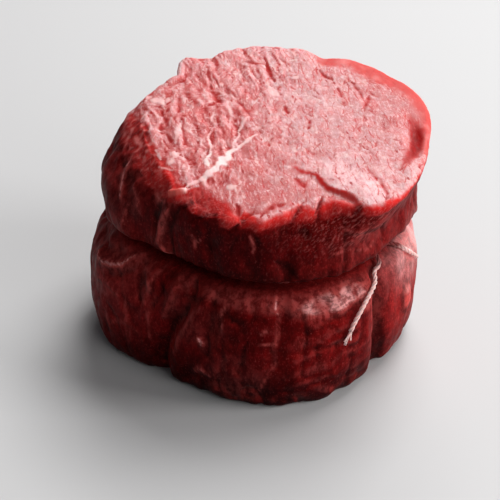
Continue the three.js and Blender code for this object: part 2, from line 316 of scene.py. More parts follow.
# %% [markdown]
# ## The mesh of the meat
# A lathe or a sphere would crowd its faces at a pole in the middle of the cut face, just where the
# finest relief belongs. A cube has no pole. Its upper square becomes the cut face, its lower square
# the foot, and its four walls the side. The operator `subdivide_edges` cuts it into an even grid, and
# a second cut of the top makes that part twice as fine.

# %% A cube cut into rows and columns
SIDE_ROWS = 96
WALL_COLUMNS = 100
FINE_ROWS = 4  # rows under the rim that are as fine as the cut face

meat_mesh = bmesh.new()
bmesh.ops.create_cube(meat_mesh, size=2.0)
uprights = [e for e in meat_mesh.edges if abs(e.verts[0].co.z - e.verts[1].co.z) > 1]
bmesh.ops.subdivide_edges(meat_mesh, edges=uprights, cuts=SIDE_ROWS - 1, use_grid_fill=True)
levels = [e for e in meat_mesh.edges if abs(e.verts[0].co.z - e.verts[1].co.z) < 1e-6]
bmesh.ops.subdivide_edges(meat_mesh, edges=levels, cuts=WALL_COLUMNS - 1, use_grid_fill=True)
fine_level = 1 - (FINE_ROWS + 0.5) * 2 / SIDE_ROWS
fine_faces = [f for f in meat_mesh.faces if all(v.co.z > fine_level for v in f.verts)]
fine_edges = list({e for f in fine_faces for e in f.edges})
bmesh.ops.subdivide_edges(meat_mesh, edges=fine_edges, cuts=1, use_grid_fill=True)
print(len(meat_mesh.verts), "vertices,", sum(len(f.verts) - 2 for f in meat_mesh.faces), "triangles")

# %% [markdown]
# Each vertex of the cube is now read as a place on the meat. In a square, the larger of the two
# coordinates says how far out a vertex is, and the other how far round, which spreads the columns
# evenly. The rows are set at even steps of the side's real length, so that the crease gets as many as
# the bulges.

# %% The cube's vertices as places on the meat
cube = np.array([v.co for v in meat_mesh.verts])
u, v, level = cube.T
out_share = np.maximum(np.abs(u), np.abs(v))
wide = np.abs(u) >= np.abs(v)
ratio = np.where(wide, v / np.where(u == 0, 1, u), u / np.where(v == 0, 1, v))
turn = np.where(wide, np.where(u >= 0, 0, 180) + 45 * ratio, np.where(v >= 0, 90, 270) - 45 * ratio) % 360
on_face, on_foot = level > 1 - 1e-6, level < -1 + 1e-6
on_side = ~on_face & ~on_foot

PROFILE_POINTS = 1501
FRONT = 270.0
profile_places = np.linspace(0, LAST_RING, PROFILE_POINTS)
profile = plain_side(np.full(PROFILE_POINTS, FRONT), profile_places)
walked = np.concatenate([[0], np.cumsum(np.linalg.norm(np.diff(profile, axis=0), axis=1))])
place = np.interp((level + 1) / 2 * walked[-1], walked, profile_places)
form = np.where(on_foot[:, None], foot(turn, out_share), side(turn, place))
form = np.where(on_face[:, None], face(turn, out_share), form)
print("side", round(walked[-1], 1), "mm long, a row every", round(walked[-1] / SIDE_ROWS, 2), "mm")

# %% The plain form and which way it faces
def move_vertices(mesh, points):
    for vertex, point in zip(mesh.verts, points):
        vertex.co = point
    mesh.normal_update()


move_vertices(meat_mesh, form)
outward = np.array([v.normal for v in meat_mesh.verts])
x, y, z = form.T
from_waist = np.abs(z - WAIST)
print("form from", form.min(axis=0).round(1), "to", form.max(axis=0).round(1))

# %% Soft shapes on the meat itself
def around(at, spread):
    """1 at so many degrees round the meat, fading out to both sides."""
    return bell(turn_between(turn, at), spread)


def near_spot(at_x, at_y, reach):
    """1 at a place seen from above, fading out round it."""
    return bell(np.hypot(x - at_x, y - at_y), reach)


# %% [markdown]
# ## Natural unevenness
# Meat is never regular. Two kinds of noise make it so: soft hills for lumps, waves and wandering
# lines, and cells for the bundles of muscle fibre, which look like packed polygons where they are cut
# across. Both depend only on the place, so the mesh comes out the same on each run.

# %% Hills and cells
def hills(points, size, seed):
    """Soft hills, size mm across, between about -1 and 1."""
    move = Vector((17.3 * seed, -9.1 * seed, 5.7 * seed))
    return np.array([noise.noise(Vector(p) + move) for p in points / size])


def cells(points, size, seed):
    """How far each point is from its cell's border, as a share of the size, and the cell's own number."""
    move = Vector((11.9 * seed, 6.1 * seed, -4.3 * seed))
    border, own = np.zeros(len(points)), np.zeros(len(points))
    for i, p in enumerate(points / size):
        away, centres = noise.voronoi(Vector(p) + move)
        border[i] = away[1] - away[0]
        own[i] = noise.cell(centres[0] * 31.7)
    return border, own


wander = np.stack([hills(form, 5, seed) for seed in (1, 2, 3)], axis=-1)
shiver = np.stack([hills(form, 1.5, seed) for seed in (17, 18, 19)], axis=-1)
print("hills between", wander.min().round(2), "and", wander.max().round(2))

# %% How far from the rim
rim = side(turn, np.full(len(turn), float(LAST_RING)))
rim_radius = np.hypot(*(rim[:, :2] - RINGS[LAST_RING, 1:3]).T)
from_rim = np.where(on_face, (out_share - 1) * rim_radius, rim[:, 2] - z)  # less than none on the face
shoulder = around(184, 26)
ragged_from_rim = from_rim + 0.45 * wander[:, 0] + 0.4 * shiver[:, 1]
ragged_from_rim += shoulder * (1.6 * wander[:, 1] + 1.3 * shiver[:, 0])

# %% [markdown]
# ## The cut face
# Three zones meet at the edge of the cut: the pale cut itself, a band where it turns a wet, deep red,
# and the dark outside. The band is thin and ragged along the front, where flaps of muscle hang over the
# rim, and wide at the left shoulder and the front left, where the cut rounds over.

# %% Where the zones of the edge end
# Degrees, where the pale cut ends and where the dark outside begins, in mm below the rim. Less than
# none is in from the rim.
EDGE_ZONES = np.array([
    (0, 0.4, 2.0), (60, 0.8, 2.4), (80, 1.4, 2.6), (128, 1.6, 3.2), (137, 5.0, 7.0), (150, 5.0, 7.0),
    (166, 3.0, 5.4),
    (177, -0.6, 4.6), (185, -2.1, 3.8), (205, -2.0, 3.0), (219, -1.1, 3.8), (227, -0.8, 1.8),
    (229.5, -5.4, 1.4), (236, -6.4, 0.6), (243, -4.4, 0.0), (247, -2.4, 1.6), (252.3, -0.4, 2.2),
    (252.9, -2.8, 1.2), (259, -0.1, 2.2), (262, 0.6, 3.2), (265, 0.0, 2.4), (271, 0.0, 2.6),
    (275.5, -0.8, 2.4), (278, 0.0, 2.5), (284.2, 1.1, 3.4), (284.8, -0.2, 1.8), (287, 0.4, 3.0),
    (291.5, -0.1, 2.6), (295, -0.8, 2.0), (298, -0.9, 1.8), (300, 0.0, 2.2), (304, -0.1, 2.0),
    (310, 0.0, 1.9), (314, 0.2, 1.4), (323, 0.8, 1.8), (345, 0.8, 2.2), (360, 0.4, 2.0),
])
pale_end, dark_start = (np.interp(turn, EDGE_ZONES[:, 0], EDGE_ZONES[:, k]) for k in (1, 2))
zone_width = dark_start - pale_end
red_depth = np.clip((ragged_from_rim - pale_end) / zone_width, 0, 1)
softness = 0.2 + 0.16 * zone_width
# The pale of the cut is partly its own colour and partly a painted sheen of the light from behind.
pale = smooth_step(softness, -softness, ragged_from_rim - pale_end)
upper_cut = smooth_step(0.5, -0.4, ragged_from_rim - dark_start)
inner_face = on_face & (from_rim < -9)
for share in (pale, upper_cut):
    share[inner_face] = 1
    share[on_foot] = 0
lower_cut = np.where(on_foot, 1, (1 - smooth_step(0.05, 0.6, place)) * on_side)
cut = np.maximum(upper_cut, lower_cut)
print("pale", round(float(pale[on_face].mean()), 2), "of the upper face")

# %% [markdown]
# ## The grain of the cut
# Bundles of fibre make a tight pavement about 2 mm across, a little longer from front to back. The left
# and back third is rougher: there the bundles join in lumps 3 mm wide and three times as long, which the
# knife dragged towards the front.

# %% Where it is rough
rough_part = smooth_step(6, -9, x - 0.35 * y + 4 * wander[:, 0]) * upper_cut
print("rough part", round(float(rough_part[on_face].mean()), 2), "of the upper face")

# %% The fine bundles
fine_points = form * (1, 0.6, 0.5) + 0.45 * wander + 0.15 * shiver
fine_border, fine_tone = cells(fine_points, 1.9, 4)
fine_seam = smooth_step(0.22, 0.0, fine_border)
fine_rise = 0.04 * (fine_tone - 0.5) - 0.05 * fine_seam + 0.025 * shiver[:, 0]
print("seams over", round(float((fine_seam[on_face] > 0.4).mean()), 2), "of the face")

# %% The lumps of the rough part
DRAG = math.radians(12)  # how far the furrows turn from straight back to front
drawn = np.stack([
    x * math.cos(DRAG) + y * math.sin(DRAG),
    (y * math.cos(DRAG) - x * math.sin(DRAG)) / 3.4,
    0.4 * z,
], axis=-1) + 0.8 * wander
lump_border, lump_tone = cells(drawn, 3.0, 6)
lump_seam = smooth_step(0.4, 0.0, lump_border)
furrows, folds = hills(drawn, 0.75, 7), hills(drawn * (1, 0.8, 1), 2.0, 16)
lump_rise = 0.1 * (lump_tone - 0.5) - 0.12 * lump_seam + 0.14 * furrows + 0.3 * folds
lump_rise += 0.3 * hills(form * (1, 0.6, 1), 4, 8)
print("lumps rise from", lump_rise.min().round(2), "to", lump_rise.max().round(2), "mm")

# %% The relief of the cut faces
cut_rise = rough_part * lump_rise + fine_rise + 0.12 * hills(form, 7, 20)
seam = np.maximum(0.5 * rough_part * lump_seam, 0.4 * fine_seam)

# %% [markdown]
# ## Strokes on the cut face
# Cracks, slits, fat and threads of gristle are all strokes: a line with a width that swells in the
# middle and runs out at the ends. Only the vertices near a stroke are looked at.

# %% A stroke
bent_x, bent_y = (form + 0.4 * wander + 0.3 * shiver)[:, :2].T
top_side = on_face | (on_side & (from_rim < 3))


def stroke(line, half):
    """1 along the middle of a line on the cut face, and 0 away from it."""
    lowest, highest = np.min(line, axis=0) - 4 * half, np.max(line, axis=0) + 4 * half
    near = top_side & (bent_x > lowest[0]) & (bent_x < highest[0])
    near &= (bent_y > lowest[1]) & (bent_y < highest[1])
    distance, along = away_from(line, bent_x[near], bent_y[near])
    mark = np.zeros(len(x))
    mark[near] = bell(distance, half * np.sin(np.pi * along) ** 0.6 + 0.02)
    return mark


def scattered(count, seed, middle, reach, turned, lengths):
    """Short bent lines at random places in an oval: turned is their mean turn, in degrees."""
    draw = np.random.default_rng(seed)
    made = []
    for _ in range(count):
        around, out = draw.uniform(0, 2 * math.pi), math.sqrt(draw.uniform())
        at = np.array(middle) + np.array(reach) * out * (math.cos(around), math.sin(around))
        bend = math.radians(draw.normal(turned, 22))
        along = np.array((math.cos(bend), math.sin(bend)))
        aside = np.array((-math.sin(bend), math.cos(bend)))
        half_length = draw.uniform(*lengths) / 2
        middle_at = at + 0.3 * draw.normal() * half_length * aside
        made.append([at - half_length * along, middle_at, at + half_length * along])
    return made


def all_scattered(fields):
    """The lines of several fields, each given as what `scattered` asks for."""
    return [line for field in fields for line in scattered(*field)]


# %% Cracks and slits
# Line, half width, depth.
CRACKS = [
    ([(1.0, 28.6), (1.7, 25.5), (2.2, 22.5), (3.4, 19.6)], 0.42, 0.9),
    ([(-4.5, 28.8), (-2.2, 27.4), (0.6, 27.6)], 0.4, 0.5),
    ([(-13.6, 17.2), (-12.6, 13.6), (-11.2, 10.2), (-10.3, 8.6)], 0.45, 0.9),
    ([(-11.3, 10.2), (-13.2, 8.4), (-14.2, 7.6)], 0.4, 0.7),
    ([(14.8, 25.2), (16.2, 22.6), (18.6, 19.6)], 0.4, 0.5),
    ([(19.7, 17.2), (20.5, 12.2)], 0.4, 0.5),
    ([(20.6, 10.6), (21.3, 8.4)], 0.35, 0.4),
    ([(27.6, 13.4), (27.2, 10.0), (26.2, 6.4)], 0.42, 0.5),
    ([(23.2, 19.5), (25.2, 15.2), (26.1, 11.2)], 0.3, 0.4),
    ([(-6.5, 10.5), (-4.6, 7.0), (-2.5, 2.5)], 0.35, 0.5),
    ([(-21.5, 11.5), (-20.8, 7.5), (-21.8, 4.0)], 0.4, 0.6),
    ([(-30.2, 1.5), (-28.4, -2.5)], 0.4, 0.5),
    ([(-25.6, 1.0), (-25.1, -4.5)], 0.5, 0.5),
    ([(2.4, -5.6), (1.6, -9.6)], 0.35, 0.4),
    ([(12.2, 2.4), (11.6, -1.6)], 0.3, 0.4),
    ([(5.8, 8.0), (6.6, 4.4)], 0.4, 0.45),
    ([(7.6, -21.0), (9.6, -23.6), (10.4, -25.4)], 0.6, 0.35),
    ([(15.6, -28.0), (17.4, -29.6)], 0.5, 0.3),
    ([(25.1, -16.7), (28.2, -21.8), (30.2, -26.7), (29.4, -30.4)], 0.36, 0.3),
    ([(-21.6, -24.0), (-19.6, -24.9), (-17.6, -24.9)], 0.5, 0.7),
    ([(-16.6, -34.0), (-15.2, -31.0), (-13.0, -28.6)], 0.42, 0.9),
    ([(-5.6, -36.0), (-5.9, -33.6), (-6.4, -30.5)], 0.42, 0.7),
    ([(-1.0, -35.6), (2.4, -31.6), (5.4, -31.0)], 0.4, 0.5),
]
SLIT_WIDTH, SLIT_DEPTH = 0.17, 0.14
SLITS = all_scattered([
    (110, 21, (16, 2), (23, 29), 102, (1.2, 3.6)),
    (60, 22, (-12, 2), (15, 25), 96, (1.5, 5)),
    (22, 29, (37.5, -14), (3.5, 10), 72, (2, 5)),
])
CRACK_RELIEF = 0.42  # how much of a crack's depth is real, as the paint does the rest
ledge_along, behind_ledge = from_ledge(x, y)
crack, crack_rise = np.zeros(len(x)), np.zeros(len(x))
for line, half, depth in CRACKS + [(line, SLIT_WIDTH, SLIT_DEPTH) for line in SLITS]:
    mark = stroke(line, 1.25 * half) * (0.9 + 0.5 * shiver[:, 2]) * upper_cut
    crack = np.maximum(crack, min(1, 0.55 + 0.6 * depth) * mark)
    crack_rise -= CRACK_RELIEF * depth * mark
print(len(CRACKS), "cracks and", len(SLITS), "slits, the deepest", round(float(-crack_rise.min()), 2), "mm")

# %% [markdown]
# ## Fat
# A seam of white fat runs from the left front towards the middle, and a nub of it hangs over the rim
# at its outer end. Smaller flecks and threads lie between the bundles. Fat is firmer than muscle, so it
# stands a little proud of the cut and is smoother.

# %% The fat
# Line and half width.
FAT_LINES = [
    ([(-19.0, -24.9), (-17.0, -23.8), (-14.6, -21.8), (-12.6, -19.4)], 0.42),
    ([(-15.6, -23.2), (-12.6, -19.2), (-9.8, -15.6)], 0.9),
    ([(-11.6, -17.4), (-9.4, -14.6), (-8.2, -12.2)], 1.5),
    ([(-9.2, -13.6), (-7.8, -11.3), (-6.0, -10.0)], 0.6),
    ([(-6.9, -10.6), (-4.6, -8.0), (-3.1, -6.2), (-1.0, -4.0)], 0.3),
    ([(-7.4, -11.0), (-7.2, -8.6), (-5.8, -5.2), (-6.2, -2.6)], 0.2),
    ([(-13.6, -17.6), (-13.9, -15.4), (-12.7, -11.6)], 0.45),
    ([(-13.2, -13.0), (-12.6, -9.4), (-13.6, -5.4), (-12.6, -1.4)], 0.2),
    ([(-8.9, 9.6), (-8.4, 6.8), (-7.9, 3.7)], 0.35),
    ([(-20.2, 1.0), (-21.4, -4.0), (-21.7, -8.4)], 0.4),
    ([(-21.2, -11.6), (-21.6, -13.2), (-21.5, -14.2)], 0.8),
    ([(-22.0, -14.2), (-23.0, -16.6)], 0.75),
    ([(-30.0, 12.6), (-28.2, 11.6)], 0.8),
    ([(-28.6, 10.8), (-26.6, 10.8)], 1.0),
    ([(-26.4, 12.4), (-26.0, 9.6), (-25.1, 8.2)], 0.6),
    ([(-24.2, 12.0), (-24.4, 9.4)], 0.4),
    ([(2.0, 17.4), (3.0, 14.2), (3.9, 10.2)], 0.85),
    ([(-9.0, -24.6), (-7.6, -24.9), (-6.4, -24.5)], 0.8),
    ([(-12.5, 5.2), (-12.9, 1.2)], 0.3),
    ([(-3.4, 3.4), (-6.3, -2.4)], 0.3),
    ([(-26.6, -9.5), (-25.2, -14.5)], 0.35),
    ([(-7.5, 22.6), (-6.6, 21.4)], 0.45),
    ([(-10.9, 18.0), (-10.2, 16.6)], 0.4),
    ([(7.5, 20.3), (9.8, 21.2)], 0.5),
]
fat = np.zeros(len(x))
for line, half in FAT_LINES:
    mark = stroke(line, half) * (1 + 0.9 * shiver[:, 2])
    fat = np.maximum(fat, smooth_step(0.2, 0.75, mark) * upper_cut)
THREADS = all_scattered([
    (36, 23, (-12, 2), (17, 29), 98, (3, 7)),
    (16, 24, (16, 2), (22, 28), 110, (1, 3)),
    (14, 28, (-7.2, -27.2), (2.8, 2.4), 96, (1.2, 3)),
])
SPECKS = scattered(26, 25, (-2, 4), (32, 32), 90, (0.3, 0.8))
thread = np.zeros(len(x))
for lines, half, strength in ((THREADS, 0.22, 0.7), (SPECKS, 0.5, 1.2)):
    for line in lines:
        thread = np.maximum(thread, strength * stroke(line, half) * upper_cut)
print("fat over", round(float(fat[on_face].mean()), 3), "of the upper face")

# %% The nub of fat over the rim
NUB_LINE = [(-22.6, -25.4), (-20.8, -26.1), (-19.2, -26.0)]
nub_distance, nub_along = away_from(NUB_LINE, x, y)
nub = bell(nub_distance, 0.65) * smooth_step(3.2, 1.8, from_rim)
nub *= smooth_step(0.0, 0.12, nub_along) * ~on_foot
nub_rise = 1.3 * nub

# %% [markdown]
# ## The edge of the cut
# At the back right the rim is a smooth pink lip, with a pocket just inside it. At the front each flap
# ends in a small step, and where two flaps part the edge is torn in a notch.

# %% The torn edge at the front
# Degrees, half width in degrees, depth.
NOTCHES = [
    (232, 0.9, 0.6), (239.4, 1.3, 0.7), (253.0, 0.9, 1.0),
    (275.4, 0.9, 0.4), (284.9, 0.7, 0.7), (298.4, 1.2, 0.4),
]
front_rim = smooth_step(75, 35, np.abs(turn_between(turn, 262)))
rim_nearness = np.where(on_face, smooth_step(-2.4, 0, from_rim), smooth_step(4.2, 0.8, from_rim))
rim_nearness = rim_nearness * ~on_foot
flap = smooth_step(0.4, -0.4, ragged_from_rim - dark_start) * smooth_step(-1.5, 0.5, from_rim)
edge_rise = 0.3 * front_rim * flap + 0.4 * front_rim * rim_nearness * hills(form * (1, 1, 0.5), 2.6, 9)
notch = np.zeros(len(x))
for at, half, depth in NOTCHES:
    mark = bell(turn_between(turn + 1.3 * wander[:, 1] + from_rim - 1, at), half) * rim_nearness
    notch = np.maximum(notch, mark)
    edge_rise -= depth * mark
edge_rise -= 0.5 * shoulder * rim_nearness
edge_rise += 1.3 * around(144, 4) * rim_nearness
print("rim moved by", edge_rise.min().round(2), "to", edge_rise.max().round(2), "mm")

# %% The smooth lip and the pocket
# Degrees, and how far the lip reaches onto the cut face, in mm.
LIP_REACHES = np.array([(0, 1.6), (14, 2.6), (30, 4.2), (46, 5.4), (60, 5.0), (69, 4.8), (74, 1.0), (80, -2)])
lip_reach = np.interp(turn, *LIP_REACHES.T, right=-2) + 3.0 * (turn > 345)
lip = smooth_step(2.0, -1.6, -from_rim - lip_reach + 1.4 * wander[:, 2] + 0.7 * shiver[:, 0])
lip = lip * smooth_step(54, 46, np.abs(turn_between(turn, 33))) * smooth_step(3.4, 2.2, from_rim) * ~on_foot
pocket_across = x - (POCKET[0] + 0.4 - 0.02 * (y + 1) ** 2) + 0.5 * wander[:, 0] + 0.3 * shiver[:, 0]
pocket_forward = y - POCKET[1] + 0.6 - 1.5 * wander[:, 1]
pocket_depth = bell(np.hypot(pocket_across / 1.1, pocket_forward / 6.2), 1) * (x > 28) * top_side
pocket = smooth_step(0.25, 0.75, pocket_depth)
pocket_edge = smooth_step(0.02, 0.4, pocket_depth)
print("lip over", round(float(lip[on_face].mean()), 3), "of the upper face")

# %% [markdown]
# ## The side
# The side is the muscle's own surface, with silverskin on it. The twine draws pleats into both tiers,
# and where the lower tier bulges at the front right it is crossed by soft level waves. Thin pale lines
# mark the torn edges of the silverskin.

# %% Fibres, waves and pleats
side_part = (1 - cut) * smooth_step(1.0, 4.0, from_waist)
fibre_points = np.stack([x, y, 0.3 * z], axis=-1) + 0.4 * wander
fibres = hills(fibre_points, 1.3, 12)
broad_fibres = hills(fibre_points, 3.2, 13)
wave_part = around(295, 14) * smooth_step(36, 32, z)
waves = np.cos(2 * np.pi * (z + 2.2 * wander[:, 2] - 0.05 * turn_between(turn, 293)) / 4.4 - 0.9)
PLEAT_COUNT = 67
pleats = np.sin(np.radians(PLEAT_COUNT * turn) + 3.5 * wander[:, 0])
pleats *= (0.6 + 0.8 * wander[:, 1]) * bell(from_waist, 4.2)
fold_points = np.stack([x, y, 0.35 * z], axis=-1) + 1.1 * wander + 0.3 * shiver
creases = smooth_step(0.17, 0.0, np.abs(hills(fold_points, 6.5, 31)))
creases *= 0.35 + 0.65 * smooth_step(-0.1, 0.3, hills(form, 9, 32))
wrinkle_part = around(304, 13) * smooth_step(38, 42, z) * smooth_step(3, 6, from_rim)
wrinkles = hills(np.stack([x, y, 3.0 * z + 0.5 * x], axis=-1) + 1.2 * wander, 3.2, 22)
side_rise = side_part * (
    0.1 * fibres + 0.26 * broad_fibres + 0.08 * wave_part * waves + 0.34 * pleats
    + 0.45 * hills(form, 7, 14) + 0.35 * wrinkle_part * wrinkles - 0.4 * creases
)
print("side moved by", side_rise.min().round(2), "to", side_rise.max().round(2), "mm")

# %% Folds and lines of silverskin
# Line of degrees and height, half width, depth, and how white it is, with less than none for painted shade in
# the groove.
FOLDS = [
    ([(189, 58.7), (194, 55), (199, 51.3), (204, 48.1)], 0.6, -0.2, 0.6),
    ([(206, 52.7), (211, 50), (215, 47)], 0.45, -0.2, 0.42),
    ([(208, 49), (207, 44), (206, 40)], 0.4, -0.3, 0.42),
    ([(216, 54), (220, 53), (223, 54)], 0.7, -0.3, 0.5),
    ([(227, 53), (226.5, 50), (224.9, 46), (225.4, 42), (228.4, 39)], 0.8, -0.55, 0.42),
    ([(221.5, 53), (223, 49), (222.4, 45), (221, 39)], 0.6, 0.6, -0.4),
    ([(231, 53), (230.6, 47), (230.4, 39)], 0.7, 0.6, -0.5),
    ([(246, 51), (249, 43.4)], 0.6, 0.4, -0.5),
    ([(257, 50), (258.5, 44)], 0.5, 0.3, -0.3),
    ([(261, 52), (263.4, 50), (265.4, 48), (266, 45.6)], 0.22, -0.1, 0.5),
    ([(241, 48.6), (243.4, 46.6), (243, 44.6)], 0.3, -0.1, 0.35),
    ([(245.4, 47.8), (243.8, 46.4)], 0.25, -0.1, 0.3),
    ([(275, 44), (279, 41), (281, 40)], 0.9, 0.7, -0.5),
    ([(189, 32), (193, 33.4), (197, 33.1), (202, 33.3)], 0.7, 0.8, -0.8),
    ([(192, 28.8), (195, 27.9), (199, 27.6), (203.7, 28.7), (208, 30.2), (210, 32.7), (213, 33.8)],
     0.5, -0.6, 0.7),
    ([(216, 31.6), (219.5, 30.2), (222, 27.2)], 0.4, -0.4, 0.45),
    ([(193, 30.6), (199, 30.4), (205, 31.8)], 0.5, 0.5, -0.5),
    ([(203, 25.6), (208, 26.8), (212, 29.4), (214, 32)], 0.6, 0.45, -0.5),
    ([(214, 33), (217, 28), (218.6, 22)], 0.7, 0.5, -0.55),
    ([(218.6, 33), (221, 28), (221.4, 23)], 0.8, -0.5, 0.2),
    ([(228.6, 33), (227.4, 28), (224.6, 22)], 0.6, 0.5, -0.5),
    ([(233, 32), (233.4, 27), (230.6, 21)], 1.2, -0.55, 0.16),
    ([(196, 22), (203, 23.6), (209, 22)], 0.4, -0.25, 0.25),
    ([(206, 12), (213, 15), (219, 13)], 0.4, -0.25, 0.22),
    ([(224, 12), (223, 20), (225, 26)], 0.4, -0.25, 0.2),
    ([(251.6, 32), (252.4, 24), (250.4, 14)], 0.7, 0.5, -0.5),
    ([(258, 20), (257.4, 12), (255, 5)], 0.6, 0.5, -0.4),
    ([(285, 30), (286.4, 22), (285, 12)], 0.6, 0.4, -0.35),
    ([(292, 27), (300, 26.4), (309, 27.4)], 0.5, 0.35, -0.3),
    ([(289, 19.4), (299, 18.8), (308, 20)], 0.6, 0.4, -0.35),
    ([(224, 33), (222.4, 30), (220, 28.2)], 0.4, -0.25, 0.35),
    ([(240, 33.4), (242, 28.7), (239, 23.8), (234, 18.2), (230, 12.8), (227, 3.8)], 0.8, 0.8, -0.8),
    ([(246.5, 28.5), (244.4, 25), (239.6, 19), (235.5, 12)], 0.6, -0.25, 0.22),
    ([(256, 33.6), (257.4, 31), (255.6, 28.4), (256, 26), (257, 23)], 0.3, -0.12, 0.4),
    ([(247.4, 19.8), (248.6, 18.6), (248.4, 17.4)], 0.6, -0.3, 0.75),
    ([(250, 20.4), (248.8, 15)], 0.3, -0.1, 0.25),
    ([(266, 21.5), (264.7, 17), (263, 11.3)], 0.5, 0.7, -0.8),
    ([(267, 8.6), (265, 4.2)], 0.4, 0.5, -0.6),
    ([(277.7, 32.6), (276.4, 28), (276.9, 24), (275.4, 20.6), (275.8, 16), (273.6, 11.5), (269.7, 4.8)],
     0.4, -0.2, 0.2),
    ([(268.6, 22.2), (272, 21.6), (276.4, 21.9)], 0.25, -0.1, 0.4),
    ([(270.6, 24.8), (273.4, 25.6)], 0.25, -0.1, 0.4),
    ([(245, 8.2), (248.6, 9.8), (252, 8.6)], 0.5, -0.25, 0.5),
    ([(273.4, 34.4), (273, 31.6)], 0.25, -0.1, 0.55),
    ([(275.6, 34.4), (275.4, 31.4), (276, 30)], 0.3, -0.1, 0.75),
    ([(281, 34), (282, 31)], 0.4, -0.15, 0.5),
    ([(284, 33), (285.6, 30)], 0.4, -0.15, 0.4),
    ([(321, 31), (318.7, 24.8), (320, 13.6), (322, 5.2)], 0.6, 0.9, -0.8),
    ([(316.4, 24), (317.4, 13)], 0.35, -0.1, 0.3),
    ([(212, 22), (214, 14), (213.4, 8)], 0.5, -0.12, 0.2),
    ([(203, 16), (204, 9)], 0.4, -0.1, 0.2),
    ([(296, 51), (303, 49.6), (309, 50.4)], 0.25, -0.12, 0.35),
    ([(299, 47), (304, 48.4), (311, 46.8)], 0.25, -0.12, 0.35),
    ([(294, 45.4), (301, 44.6), (306, 45.6)], 0.25, -0.12, 0.3),
    ([(306, 44), (311, 42.6), (315, 43.6)], 0.3, -0.15, 0.35),
    ([(35, 10), (41, 18), (39, 27)], 0.5, -0.2, 0.4),
    ([(84, 29), (92, 24), (99, 25), (104, 19)], 0.45, -0.2, 0.2),
    ([(96, 55), (99, 48), (94, 42)], 0.45, -0.2, 0.2),
    ([(133, 26), (139, 22), (141, 12)], 0.5, 0.6, -0.5),
    ([(172, 52), (176, 46), (171, 41)], 0.45, -0.2, 0.35),
    ([(5, 50), (9, 44), (4, 39)], 0.4, -0.15, 0.35),
]
fold_white, painted_fold_shade, fold_rise = np.zeros(len(x)), np.zeros(len(x)), np.zeros(len(x))
bent_turn = turn + 0.9 * wander[:, 0] + 0.3 * shiver[:, 0]
bent_height = z + 0.6 * wander[:, 1] + 0.2 * shiver[:, 1]
for line, half, depth, white in FOLDS:
    distance, along = away_on_side(line, bent_turn, bent_height)
    mark = bell(distance, half * (0.5 + 0.5 * np.sin(np.pi * along))) * side_part
    fold_rise -= depth * mark
    fold_white = np.maximum(fold_white, 1.4 * white * mark)
    painted_fold_shade = np.maximum(painted_fold_shade, -white * mark)
print(len(FOLDS), "folds and lines")

# %% Films of silverskin, with painted sheen
# Degrees, height, half width in degrees, half height, how white. The pale patches are silverskin, and where
# they face the lights they are painted sheen as well.
FILMS_AND_SHEENS = [
    (299, 30.6, 15, 2.4, 1.0),
    (314, 28.0, 5, 3.0, 0.7),
    (268, 32.0, 18, 1.8, 0.5),
    (352, 30.0, 10, 4.6, 1.0),
    (338, 18.8, 2.6, 3.4, 0.5),
    (340, 21.0, 1.2, 1.2, 0.9),
    (226.5, 47.0, 1.6, 7.0, 0.5),
    (208, 31.0, 9, 2.2, 0.3),
    (236, 31.5, 4, 2.4, 0.3),
    (318, 20.0, 3.5, 9.0, 0.3),
    (196, 50.0, 16, 8.0, 0.12),
    (198, 26.0, 18, 7.0, 0.14),
    (226, 46.0, 3.5, 8.0, 0.1),
    (262, 9.0, 9, 6.5, 0.14),
    (246, 24.0, 10, 5.0, 0.1),
    (306, 47.0, 11, 5.0, 0.12),
    (20, 30.0, 16, 5.0, 0.25),
    (70, 50.0, 14, 6.0, 0.35),
    (110, 14.0, 16, 8.0, 0.35),
    (165, 26.0, 14, 6.0, 0.35),
    (150, 50.0, 12, 5.0, 0.3),
]
torn = smooth_step(-0.4, 0.35, hills(form * (1, 1, 0.6), 3.4, 15) + 0.4 * fibres + 0.3 * shiver[:, 2])
film_and_sheen = np.zeros(len(x))
# Painted shade along the creases too.
painted_fold_shade = np.maximum(painted_fold_shade, 0.5 * creases)
for at, height, half_turn, half_height, white in FILMS_AND_SHEENS:
    patch = around(at, half_turn) * bell(z - height, half_height)
    film_and_sheen = np.maximum(film_and_sheen, white * smooth_step(0.2, 0.8, patch) * (0.65 + 0.35 * torn))
# paler along the crests of the level waves, as painted sheen
film_and_sheen = np.maximum(film_and_sheen, 0.16 * wave_part * smooth_step(-0.2, 0.9, waves) * torn)
film_and_sheen = np.maximum(film_and_sheen * side_part, fold_white)
print("silverskin over", round(float((film_and_sheen[on_side] > 0.2).mean()), 2), "of the side")

# %% [markdown]
# ## The finished mesh
# All the relief is added along each vertex's own outward direction. It fades out at the bottom of the
# crease, where the twine lies, and nothing of the foot goes below the board.

# %% Relief onto the form
MIDDLE = np.array([1.115, 0.056, 0])  # from the rings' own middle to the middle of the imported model

tuck = -3.2 * around(141, 9) * smooth_step(38, 47, z) * smooth_step(0.5, 3, from_rim) * on_side
filled_crease = (2.2 + 0.8 * wander[:, 2]) * bell(z - 34.6, 1.8) * around(196, 11) * on_side
relief = cut * (cut_rise * (1 - 0.4 * fat) + 0.04 * fat * upper_cut + 0.04 * thread)
relief += crack_rise * (1 - 0.7 * fat)
relief += edge_rise + nub_rise + side_rise + fold_rise + tuck
relief += filled_crease
relief = np.where(on_foot, np.minimum(fine_rise, 0), relief)
finished = form + outward * relief[:, None]
finished[:, 2] = np.maximum(finished[:, 2], 0)
move_vertices(meat_mesh, (finished + MIDDLE) * MM)
print("relief from", relief.min().round(2), "to", relief.max().round(2), "mm")

# %% Hollows and tops
def smoothed(values, rounds):
    """The values with each vertex moved half way to the mean of its neighbours, so many times over."""
    for _ in range(rounds):
        total = np.bincount(edge_from, values[edge_to], len(values))
        total += np.bincount(edge_to, values[edge_from], len(values))
        values = 0.5 * values + 0.5 * total / neighbours
    return values


